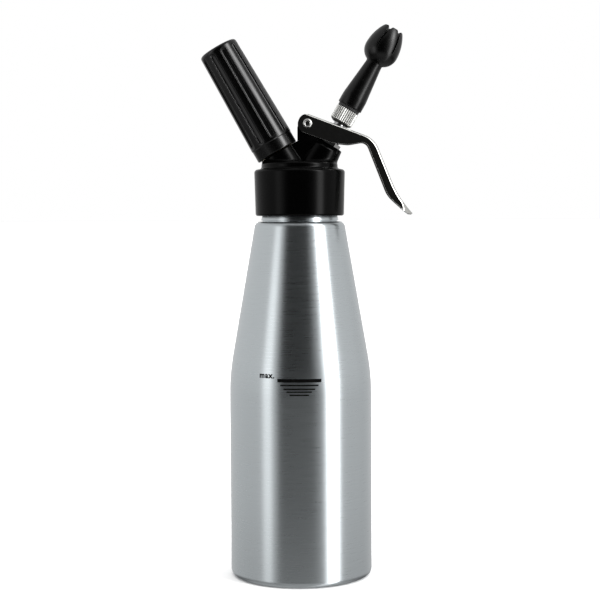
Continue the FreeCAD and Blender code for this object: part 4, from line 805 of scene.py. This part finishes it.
@dataclass
class Lever:
    """Polished channel of bent sheet and its rivet, in the pivot's frame. Sizes in millimetres."""

    nose: float = 6.3
    nose_rounding: float = 5.7
    top: float = 6.0
    drop: float = 6.4
    sheet: float = 1.2
    half_width: float = 8.6
    edge: float = 1.9
    lip: float = 0.1
    spoon_start: float = 77.0
    spoon_edge: float = 8.5
    spoon_depth: float = 2.3
    bend: Corner = Corner(45.13, 6.0, 16.0)
    flare: Corner = Corner(73.70, -24.96, 55.0)
    tip: Corner = Corner(86.50, -31.20)
    tip_rounding: float = 6.5
    under_edge: tuple[Corner, ...] = (
        Corner(-20.0, -6.4), Corner(19.5, -6.4, 10.0), Corner(30.6, -3.6, 10.0), Corner(40.9, 2.47, 5.0),
        Corner(66.9, -26.4, 18.0), Corner(80.6, -31.9), Corner(95.0, -36.2))
    slot: tuple[float, float] = (13.3, 25.6)
    slot_half: float = 5.0
    slot_rounding: float = 4.5
    slot_cut: float = 8.0
    pivot_radius: float = 2.03
    cutter_width: float = 30.0
    # One end of the rivet from the middle of its hollow to its shank, as (radius, distance from the middle).
    rivet_end: tuple[Corner, ...] = (
        Corner(0.0, 8.83), Corner(0.9, 8.83), Corner(1.62, 8.83, 0.1), Corner(1.74, 9.53, 0.25),
        Corner(2.4, 9.53, 0.8), Corner(3.05, 8.83, 0.3), Corner(3.05, 8.63, 0.1), Corner(2.0, 8.63))
    # Mesh: longest step along the sheet, steps round its bends, and the least distance between points.
    station_step: float = 1.6
    bend_steps: int = 9
    least: float = 0.02

    def stations(self) -> list[tuple[Vector, Vector]]:
        """Places along the outer face with the direction into the sheet, close enough for its curves."""
        line = [Vector(point) for point in soften(
            [Corner(-self.nose, self.top), self.bend, self.flare, self.tip])]
        places: list[Vector] = []
        for first, last in pairwise(line):
            steps = max(1, math.ceil((last - first).length / self.station_step))
            places += [first.lerp(last, k / steps) for k in range(steps)]
        places.append(line[-1])
        found = []
        for i, place in enumerate(places):
            run = places[min(i + 1, len(places) - 1)] - places[max(i - 1, 0)]
            found.append((place, Vector((run.y, -run.x)).normalized()))
        return found

    def depth(self, place: Vector, inward: Vector, edge: Sequence[Vector]) -> float:
        """Distance from the outer face to the flanges' lower edge.

        Args:
            place: A place on the outer face.
            inward: Direction into the sheet there.
            edge: The lower edge.

        Returns:
            The distance, at least the sheet's thickness.
        """
        deep = self.cutter_width
        for first, last in pairwise(edge):
            run, gap = last - first, first - place
            cross = inward.x * run.y - inward.y * run.x
            if abs(cross) < 1e-9:
                continue
            reach = (gap.x * run.y - gap.y * run.x) / cross
            share = (gap.x * inward.y - gap.y * inward.x) / cross
            if reach > 0.0 and 0.0 <= share <= 1.0:
                deep = min(deep, reach)
        return max(deep, self.sheet + self.least)

    def half_section(self, depth: float, edge: float, reach: float) -> Points:
        """Half of the channel's section.

        Args:
            depth: Distance from the outer face to the lower edge.
            edge: Radius of the bend between the face and the flange.
            reach: Largest distance from the middle.

        Returns:
            Points as (across, depth), from the outer to the inner middle.
        """
        centre = self.half_width - edge
        arcs = []
        for radius in (edge, edge - self.sheet):
            turn = math.acos(max(0.0, 1.0 - max(0.0, depth - edge + radius) / radius))
            if reach - centre < radius:
                turn = min(turn, math.asin(max(0.0, (reach - centre) / radius)))
            angles = [max(turn, 0.01) * k / self.bend_steps for k in range(self.bend_steps + 1)]
            arcs.append([(centre + radius * math.sin(angle), edge - radius * math.cos(angle))
                         for angle in angles])
        outside, inside = arcs[0], arcs[1][::-1]
        far, near = outside[-1], inside[0]
        foot = far[1] + self.least
        low = max(depth, foot) if reach >= self.half_width else foot
        lip = min(self.lip, 0.3 * (low - far[1]))
        rim = [(far[0], low - lip), (far[0] - 0.3 * lip, low - 0.3 * lip), (far[0] - lip, low),
               (near[0] + lip, max(low, near[1] + self.least)),
               (near[0], max(low - lip, near[1] + self.least / 2.0))]
        flat = max(0.0, centre) / 2.0
        return [(0.0, 0.0), (flat, 0.0), *outside, *rim, *inside, (flat, self.sheet), (0.0, self.sheet)]

    def reach(self, x: float) -> float:
        """Half of the width that the rounded thumb tip leaves."""
        past = x - (self.tip.across - self.tip_rounding)
        if past <= 0.0:
            return self.half_width
        return self.half_width - self.tip_rounding + math.sqrt(max(0.0, self.tip_rounding ** 2 - past ** 2))

    def build(self) -> None:
        """Build and dress the lever and its rivet."""
        edge = [Vector(point) for point in soften(self.under_edge)]
        stations = self.stations()
        loops = []
        for place, inward in stations:
            share = min(1.0, max(0.0, (place.x - self.spoon_start) / (self.tip.across - self.spoon_start)))
            share = share * share * (3.0 - 2.0 * share)
            bend = self.edge + (self.spoon_edge - self.edge) * share
            depth = max(self.depth(place, inward, edge), self.spoon_depth * min(1.0, 2.0 * share))
            half = self.half_section(depth, bend, self.reach(place.x))
            loop = half + [(-across, deep) for across, deep in reversed(half[1:-1])]
            loops.append(loop + loop[:1])

        def spot(i: int, j: int) -> Place:
            """A point of the sheet by its number in its section and the section's number."""
            place, inward = stations[j]
            across, deep = loops[j][i]
            return place.x + inward.x * deep, across, place.y + inward.y * deep

        sheet = wrapped("lever_sheet", len(loops[0]) - 1, len(stations) - 1, spot)
        tidy_mesh(sheet, 0.004)
        fill_ends(sheet)
        self.trim(sheet)
        settle(sheet, PIVOT_AXIS)
        smooth(sheet, 32.0)
        even_normals(sheet)
        dress(sheet, POLISHED, Body.LEVER, "lever")
        self.rivet()

    def trim(self, sheet: Piece) -> None:
        """Round the nose, and cut the stem's slot and the pivot's holes."""
        beyond, high = -20.0, 2.0 * self.top
        nose = soften([
            Corner(0.0, high), Corner(0.0, self.top), Corner(-self.nose, self.top, self.nose_rounding),
            Corner(-self.nose, -self.drop, self.nose_rounding), Corner(0.0, -self.drop), Corner(0.0, -high),
            Corner(beyond, -high), Corner(beyond, high)], closed=True)
        carve(sheet, extruded("nose_cutter", nose, self.cutter_width))
        stadium = soften([Corner(along, side, self.slot_rounding) for along, side in (
            (self.slot[0], -self.slot_half), (self.slot[1], -self.slot_half),
            (self.slot[1], self.slot_half), (self.slot[0], self.slot_half))], closed=True)
        cutter = extruded("slot_cutter", stadium, self.slot_cut)
        reshape(cutter, lambda point: (point.x, point.z, point.y + self.top))
        tidy_mesh(cutter)
        carve(sheet, cutter)
        carve(sheet, added("pivot_cutter", bpy.ops.mesh.primitive_cylinder_add, vertices=64,
                           radius=mm(self.pivot_radius), depth=mm(self.cutter_width),
                           rotation=(math.pi / 2.0, 0.0, 0.0)))
        tidy_mesh(sheet, 0.002)

    def rivet(self) -> None:
        """Build the rivet: a shank with two rolled heads round its hollow ends."""
        upper = soften(self.rivet_end)
        lower = [(radius, -height) for radius, height in reversed(upper)]
        rivet = turned("lever_rivet", upper + lower, 64, closed=False)
        reshape(rivet, lambda point: (point.x, point.z, point.y))
        tidy_mesh(rivet)
        settle(rivet, PIVOT_AXIS)
        smooth(rivet, 35.0)
        dress(rivet, PLATED, Body.LEVER, "lever_pin")


# ---- Valve and nozzle ----

@dataclass
class Valve:
    """Stem, poppet, seals, spring and thrust ring, and the knurled adapter on the stem. Sizes in millimetres."""

    # The adapter's section: the stem's seat, the chamfered grip, the stud over it and the bore.
    adapter: tuple[Corner, ...] = (
        Corner(4.03, 54.0), Corner(5.4, 54.0, 0.15), Corner(7.1, 55.1), Corner(7.8, 56.0), Corner(7.8, 56.3),
        Corner(7.8, 64.1), Corner(7.8, 64.4), Corner(7.3, 64.9), Corner(5.0, 64.9, 0.2), Corner(5.0, 73.9, 0.4),
        Corner(2.6, 73.9, 0.2), Corner(2.6, 62.1), Corner(4.03, 62.1))
    # The knurl: depths of one tooth's points, cut whole beyond the grip's radius, in part beyond the chamfer's.
    teeth: int = 32
    tooth: tuple[float, ...] = (0.0, 0.21, 0.6, 0.21)
    grip_radius: float = 7.7
    chamfer_radius: float = 7.05
    chamfer_share: float = 0.3
    stud_radius: float = 5.0
    stud_thread: Thread = Thread(
        "stud_thread", depth=0.6, start=67.3, pitch=2.0, turns=2.5, foot_width=1.1, crest_width=0.5)
    spring_radius: float = 5.8
    spring_wire: float = 0.5
    spring_foot: float = 41.68
    spring_length: float = 6.09
    spring_turns: float = 3.0
    spring_steps: int = 56

    def build(self) -> None:
        """Build and dress the valve's pieces."""
        for node, finish in (("valve_stem", STEEL), ("valve_poppet", BRASS), ("thrust_ring", PLATED)):
            skin(node, finish, Body.VALVE)
        self.build_adapter()
        for node in ("valve_seal", "stem_oring", "adapter_seal"):
            skin(node, RUBBER, Body.VALVE)
        self.build_spring()

    def build_adapter(self) -> None:
        """Build the adapter: knurled grip with chamfered ends, and the threaded stud over it."""
        points = len(self.tooth) * self.teeth
        adapter = turned("adapter_grip", soften(self.adapter), points)

        def cut_teeth(point: Vector) -> Place:
            """Sink a point of the grip by its place in its tooth, less so on the chamfers."""
            radius = math.hypot(point.x, point.y)
            if radius < self.chamfer_radius:
                return point.x, point.y, point.z
            number = round(math.atan2(point.y, point.x) / (2.0 * math.pi) * points) % len(self.tooth)
            share = 1.0 - self.tooth[number] * (1.0 if radius > self.grip_radius else self.chamfer_share) / radius
            return point.x * share, point.y * share, point.z

        reshape(adapter, cut_teeth)
        joined(adapter, self.stud_thread.build(self.stud_radius))
        settle(adapter, VALVE_AXIS)
        smooth(adapter, 22.0)
        dress(adapter, KNURL_GROOVE_SHADE, Body.VALVE, "nozzle_adapter")

    def build_spring(self) -> None:
        """Coil the valve spring. It is pressed together between the gland nut and the thrust ring."""
        coil = added("valve_spring_coil", bpy.ops.mesh.primitive_circle_add, vertices=16,
                     radius=mm(self.spring_wire), rotation=(math.pi / 2.0, 0.0, 0.0), fill_type="NOTHING")
        coil.location = (mm(self.spring_radius), 0.0, mm(self.spring_foot))
        bpy.ops.object.transform_apply(location=True, rotation=True, scale=True)
        screwed(coil, self.spring_length, self.spring_turns, self.spring_steps)
        settle(coil, VALVE_AXIS)
        smooth(coil, 60.0)
        dress(coil, STEEL, Body.VALVE, "valve_spring")
        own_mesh(coil)


@dataclass
class Nozzle:
    """Tulip nozzle and the ring under it, on the valve's axis. Sizes in millimetres."""

    # The section of its socket, foot and neck, from the inside out.
    foot: tuple[Corner, ...] = (
        Corner(2.9, 76.56), Corner(5.85, 76.56), Corner(5.85, 66.96, 0.3), Corner(8.45, 66.96, 0.6),
        Corner(8.45, 73.96, 21.0), Corner(5.76, 98.4, 3.0), Corner(5.7, 100.4))
    socket_radius: float = 5.85
    socket_thread: Thread = Thread(
        "socket_thread", depth=-0.6, start=68.3, pitch=2.0, turns=1.5, foot_width=1.1, crest_width=0.5)
    bore: float = 2.9
    neck_radius: float = 5.7
    equator: float = 109.5
    radius: float = 11.6
    belly: float = 9.75
    petal_arc: float = 30.6
    petal_edge: float = 0.28
    wall: float = 1.9
    petals: int = 6
    slit_foot: float = 110.2
    slit_width: float = 0.42
    slit_spread: float = 0.65
    slit_opening: float = 0.03
    slit_turn: float = -22.0
    crown: float = 122.4
    crown_share: float = 0.55
    tip: float = 126.3
    # Mesh: heights of a petal's rows, faces across it, rings of the belly inside and outside, the distance of one
    # more ring under it, and how near to the widest part the rim is opened.
    rows: tuple[float, ...] = (
        109.5, 109.85, 110.2, 110.4, 110.7, 111.3, 112.6, 114.6, 116.4, 118.2, 120.0, 121.6, 122.7, 123.6,
        124.3, 124.9, 125.4, 125.8, 126.05, 126.2)
    columns: int = 16
    inside_steps: int = 14
    outside_steps: int = 18
    ring_gap: float = 0.35
    rim_gap: float = 0.05

    def petal_radius(self, height: float) -> float:
        """The tulip's outer radius above its widest part."""
        return self.radius - self.petal_arc + math.sqrt(self.petal_arc ** 2 - (height - self.equator) ** 2)

    def half_petal(self, height: float) -> float:
        """Half a petal's width in degrees at a height: whole under the slits, rounded at the tip."""
        full = 180.0 / self.petals
        if height <= self.slit_foot:
            return full
        rise = (height - self.slit_foot) / (self.tip - self.slit_foot)
        opening = math.sqrt(min(1.0, rise / self.slit_opening))
        gap = self.slit_width * opening + self.slit_spread * rise
        crown = max(0.0, (height - self.crown) / (self.tip - self.crown))
        share = 1.0 - self.crown_share + self.crown_share * max(0.0, 1.0 - crown ** 3.5) ** 0.4
        return (full - math.degrees(gap / self.petal_radius(height))) * share

    def arc(self, outer: float, swing: float, start: float, end: float, steps: int) -> Points:
        """Points on a circle that is widest at the equator.

        Args:
            outer: Its radius at the equator, from the nozzle's axis.
            swing: The circle's own radius.
            start: Height before the first point.
            end: Height of the last point.
            steps: Number of points.

        Returns:
            Points as (radius, height).
        """
        first, last = (math.asin((self.equator - height) / swing) for height in (start, end))
        angles = [first + (last - first) * k / steps for k in range(1, steps + 1)]
        return [(outer - swing + swing * math.cos(angle), self.equator - swing * math.sin(angle))
                for angle in angles]

    def stem(self) -> Piece:
        """The turned part: socket, foot, neck and the tulip up to its widest part."""
        lower = self.equator - math.sqrt(self.belly ** 2 - (self.belly - self.radius + self.neck_radius) ** 2)
        inner, belly = self.radius - self.wall, self.belly - self.wall
        inner_low = self.equator - math.sqrt(belly ** 2 - (belly - inner + self.bore) ** 2)
        inside = self.arc(inner, belly, self.equator, inner_low, self.inside_steps)
        outside = self.arc(self.radius, self.belly, lower, self.equator, self.outside_steps)
        points = [(inner, self.equator), *inside, *soften(self.foot)[:-1],
                  (self.neck_radius, lower - self.ring_gap), *outside]
        return turned("nozzle_stem", points, self.petals * self.columns, closed=False)

    def tulip(self) -> Piece:
        """The petals: a sheet with slits, thickened inwards, with rounded edges."""
        sector = 2.0 * math.pi / self.petals
        sheets = []
        for number in range(self.petals):

            def place(i: int, j: int, middle: float = sector * number) -> Place:
                """A point of a petal by its number in its row and its row."""
                half = math.radians(self.half_petal(self.rows[j]))
                angle = middle + half * (2.0 * i / self.columns - 1.0)
                radius = self.petal_radius(self.rows[j])
                return radius * math.cos(angle), radius * math.sin(angle), self.rows[j]

            sheets.append(wrapped(f"petal_{number}", self.columns, len(self.rows) - 1, place))
        tulip = joined(*sheets)
        tidy_mesh(tulip)
        modify(tulip, "SOLIDIFY", thickness=mm(self.wall), offset=-1.0, use_even_offset=True)
        self.open_foot(tulip)
        modify(tulip, "BEVEL", width=mm(self.petal_edge), segments=3, limit_method="ANGLE",
               angle_limit=math.radians(50.0), harden_normals=False, use_clamp_overlap=True)
        return tulip

    def open_foot(self, tulip: Piece) -> None:
        """Take away the flat rim at the tulip's widest part, where the turned part joins it."""
        with editing(tulip, "DESELECT"):
            bpy.ops.mesh.select_mode(type="VERT")
        for vertex in tulip.data.vertices:
            vertex.select = abs(vertex.co.z * 1000.0 - self.equator) < self.rim_gap
        bpy.ops.object.mode_set(mode="EDIT")
        bpy.ops.mesh.select_mode(type="FACE")
        bpy.ops.mesh.delete(type="FACE")
        bpy.ops.mesh.select_mode(type="VERT")
        bpy.ops.object.mode_set(mode="OBJECT")

    def build(self) -> None:
        """Build and dress the nozzle and its ring."""
        skin("nozzle_seal", RUBBER, Body.NOZZLE_RING)
        nozzle = joined(self.tulip(), self.stem())
        nozzle.name = nozzle.data.name = "tulip_nozzle"
        tidy_mesh(nozzle)
        joined(nozzle, self.socket_thread.build(self.socket_radius))
        turn = Matrix.Rotation(math.radians(self.slit_turn), 3, "Z")
        reshape(nozzle, lambda point: turn @ point)
        settle(nozzle, VALVE_AXIS)
        smooth(nozzle, 32.0)
        dress(nozzle, BLACK_PLASTIC, Body.NOZZLE, "decorator_nozzle")


# ---- Charger holder ----

@dataclass
class ChargerHolder:
    """Fluted holder, its threaded liner and the gas charger, on the holder's axis. Sizes in millimetres."""

    # The wall's section under the flutes, and over them round the dome and down the bore.
    foot: tuple[Corner, ...] = (
        Corner(12.33, 29.4, 0.2), Corner(14.5, 29.4, 0.9), Corner(14.5, 37.3, 0.3), Corner(14.8, 37.8, 0.3))
    cap: tuple[Corner, ...] = (
        Corner(13.25, 108.9, 2.0), Corner(5.9625, 109.6, 26.0), Corner(0.0, 109.6), Corner(0.0, 101.59),
        Corner(9.65, 101.59, 8.3), Corner(9.65, 45.76, 0.1), Corner(12.33, 45.76, 0.1))
    rib_radius: float = 14.8
    flute_inside: float = 12.63
    flutes: int = 10
    flute_turn: float = 11.0
    flute_low: float = 40.95
    flute_high: float = 104.05
    flute_steps: int = 8
    # A flute's section as (distance from its middle line, depth), and the distances where points lie.
    groove: Stops = (
        (0.0, 1.25), (0.6, 1.24), (1.15, 1.19), (1.5, 1.1), (1.72, 0.96), (1.86, 0.72), (1.96, 0.4),
        (2.06, 0.18), (2.2, 0.05), (2.4, 0.0))
    across: tuple[float, ...] = (0.0, 0.6, 1.15, 1.5, 1.72, 1.86, 1.96, 2.06, 2.2, 2.4, 2.9, 3.7)

    def sink(self, distance: float) -> float:
        """Depth of a flute at a distance from its middle line."""
        for (near, deep), (far, shallow) in pairwise(self.groove):
            if distance < far:
                return deep + (shallow - deep) * (distance - near) / (far - near)
        return 0.0

    def outline(self) -> Points:
        """The wall's closed section, with extra heights at the flutes' ends."""
        low, high = self.foot[-1], self.cap[0]
        slope = (low.across - high.across) / (high.along - low.along)
        rounding = self.across[1:len(self.groove)]
        heights = [self.flute_low - offset for offset in reversed(rounding)]
        heights += [self.flute_low + (self.flute_high - self.flute_low) * step / self.flute_steps
                    for step in range(self.flute_steps + 1)]
        heights += [self.flute_high + offset for offset in rounding]
        ribs = [Corner(low.across - slope * (height - low.along), height) for height in heights]
        return soften([*self.foot, *ribs, *self.cap], closed=True)

    def build(self) -> None:
        """Build and dress the holder and the charger."""
        sector = 360.0 / self.flutes
        side = [math.degrees(offset / self.rib_radius) for offset in self.across] + [sector / 2.0]
        stations = side[:-1] + [sector - angle for angle in reversed(side[1:])]
        count = len(stations)
        holder = turned("holder_grip", self.outline(), self.flutes * count)

        def flute(point: Vector) -> Place:
            """Move a point to its station round the holder, and sink it if it lies in a flute."""
            radius = math.hypot(point.x, point.y)
            number = round(math.degrees(math.atan2(point.y, point.x)) / 360.0 * self.flutes * count)
            turn = stations[number % count]
            angle = math.radians(sector * (number // count) + turn + self.flute_turn - 90.0)
            if radius > self.flute_inside:
                aside = self.rib_radius * math.radians(min(turn, sector - turn))
                beyond = max(0.0, self.flute_low - point.z, point.z - self.flute_high)
                radius -= self.sink(math.hypot(aside, beyond))
            return radius * math.cos(angle), radius * math.sin(angle), point.z

        reshape(holder, flute)
        settle(holder, HOLDER_AXIS)
        smooth(holder, 50.0)
        dress(holder, BLACK_GRIP, Body.HOLDER, "charger_holder")
        skin("holder_liner", BRASS, Body.HOLDER)
        skin("gas_charger", ZINC, Body.CHARGER)
        skin("charger_cap", STEEL, Body.CHARGER)


# ---- Studio ----

class Light(NamedTuple):
    """A part of the surrounding light: brightness by the angle round, times a factor by the angle above level."""

    around: Stops
    rise: Stops


@dataclass
class Studio:
    """Pale floor, soft lights and the camera.

    The camera's place is in millimetres and the angles are in degrees. A light's angle round starts behind the
    camera and grows towards the lever's side.
    """

    floor_size: float = 60.0
    sun: float = 3.3
    sun_width: float = 100.0
    sun_tilt: float = -8.0
    sensor: float = 36.0
    focal: float = 90.0
    pitch: float = 3.43
    roll: float = -0.30
    eye: Place = (-0.15, -1005.5, 245.2)
    walls: Light = Light(
        ((-180, 0.66), (-100, 0.70), (-62, 0.72), (-48, 0.30), (-34, 0.04), (-26, 0.0), (16, 0.0), (34, 0.10),
         (48, 0.50), (62, 0.74), (80, 0.70), (100, 0.68), (125, 0.62), (180, 0.66)),
        ((-90, 0.8), (-50, 0.6), (-28, 0.12), (-18, 0.7), (-8, 1.0), (14, 1.05), (30, 0.95), (55, 0.9), (90, 0.7)))
    left_strip: Light = Light(
        ((-180, 0.0), (-74, 0.0), (-66, 0.9), (-61, 1.5), (-53, 1.68), (-43, 0.66), (-34, 0.10), (-27, 0.0),
         (180, 0.0)),
        ((-90, 0.0), (-28, 0.0), (-22, 0.25), (-14, 0.9), (0, 1.0), (15, 1.15), (27, 0.35), (45, 0.3), (90, 0.3)))
    right_strip: Light = Light(
        ((-180, 0.0), (16, 0.0), (32, 0.2), (42, 0.8), (50.5, 6.5), (57.5, 6.5), (66, 0.9), (76, 0.0), (180, 0.0)),
        ((-90, 0.2), (-50, 0.3), (-27, 0.55), (-14, 0.85), (0, 1.0), (14, 1.1), (26, 2.2), (38, 1.6), (55, 0.6),
         (90, 0.3)))
    front: Light = Light(
        ((-180, 0.3), (-55, 0.3), (-32, 1.0), (32, 1.0), (55, 0.3), (180, 0.3)),
        ((-90, 0.32), (-58, 0.36), (-40, 0.50), (-25, 0.42), (-12, 0.06), (-3, 0.012), (42, 0.006), (56, 0.45),
         (68, 0.5), (78, 0.3), (90, 0.3)))

    def build(self) -> None:
        """Build the floor, the lights, the surrounding light and the camera."""
        self.floor()
        self.surroundings()
        self.overhead()
        self.camera()

    def floor(self) -> None:
        """A wide pale floor, lit evenly from above."""
        floor = added("studio_floor", bpy.ops.mesh.primitive_plane_add, size=self.floor_size)
        canvas = MaterialCanvas("studio_floor")
        canvas.tint(canvas.noise(3.0), grey(0.92), grey(0.93))
        canvas.set(Roughness=0.8)
        floor.data.materials.append(canvas.material)
        floor.visible_glossy = False

    def surroundings(self) -> None:
        """Surrounding light: dark behind the camera, a strip on each side of that, and pale all round."""
        world = bpy.data.worlds.new("studio")
        bpy.context.scene.world = world
        world.use_nodes = True
        canvas = NodeCanvas(world.node_tree)

        def ramp(angle: Socket, stops: Stops, limit: float) -> Socket:
            """Brightness by an angle from -limit to limit, through stops of (degrees, brightness)."""
            half = math.radians(limit)
            share = canvas.math("DIVIDE", canvas.math("ADD", angle, half), 2.0 * half)
            made = canvas.node("ShaderNodeValToRGB", {"Fac": share})
            made.color_ramp.interpolation = "EASE"
            while len(made.color_ramp.elements) < len(stops):
                made.color_ramp.elements.new(1.0)
            for element, (degrees, light) in zip(made.color_ramp.elements, stops):
                element.position = (degrees + limit) / (2.0 * limit)
                element.color = (*grey(light), 1.0)
            return made.outputs["Color"]

        direction = canvas.node("ShaderNodeTexCoord").outputs["Generated"]
        x, y, z = canvas.node("ShaderNodeSeparateXYZ", {"Vector": direction}).outputs
        azimuth = canvas.math("ARCTAN2", x, canvas.math("MULTIPLY", y, -1.0))
        elevation = canvas.math("ARCSINE", z)
        brightness: Socket | float = 0.0
        for part in (self.walls, self.left_strip, self.right_strip, self.front):
            glow = canvas.math("MULTIPLY", ramp(azimuth, part.around, 180.0), ramp(elevation, part.rise, 90.0))
            brightness = canvas.math("MAXIMUM", glow, brightness)
        light, seen = (canvas.node("ShaderNodeBackground", {"Color": colour}).outputs["Background"]
                       for colour in (brightness, (1.0, 1.0, 1.0, 1.0)))
        mix = canvas.node("ShaderNodeMixShader", {
            "Fac": canvas.node("ShaderNodeLightPath").outputs["Is Camera Ray"], 1: light, 2: seen})
        canvas.node("ShaderNodeOutputWorld", {"Surface": mix.outputs["Shader"]})

    def overhead(self) -> None:
        """Even soft light from above, which makes the floor white and gives no highlights."""
        data = bpy.data.lights.new("overhead", "SUN")
        data.energy = self.sun
        data.angle = math.radians(self.sun_width)
        lamp = bpy.data.objects.new("overhead", data)
        bpy.context.scene.collection.objects.link(lamp)
        lamp.rotation_euler = (math.radians(self.sun_tilt), 0.0, 0.0)
        lamp.visible_glossy = False

    def camera(self) -> None:
        """The camera, level with the head and far enough for a long lens."""
        data = bpy.data.cameras.new("camera")
        data.sensor_width = self.sensor
        data.lens = self.focal
        data.clip_start, data.clip_end = 0.05, 50.0
        camera = bpy.data.objects.new("camera", data)
        scene = bpy.context.scene
        scene.collection.objects.link(camera)
        turn = Matrix.Rotation(math.radians(90.0 - self.pitch), 4, "X")
        turn = turn @ Matrix.Rotation(math.radians(self.roll), 4, "Z")
        camera.matrix_world = Matrix.Translation([mm(value) for value in self.eye]) @ turn
        scene.camera = camera
        scene.view_settings.view_transform = "Standard"
        scene.view_settings.look = "None"


def main() -> None:
    """Build the dispenser piece by piece, then the studio."""
    for part in (Bottle(), Head(), Lever(), Valve(), Nozzle(), ChargerHolder(), Studio()):
        part.build()
    clear_selection()


if __name__ == "__main__":
    main()
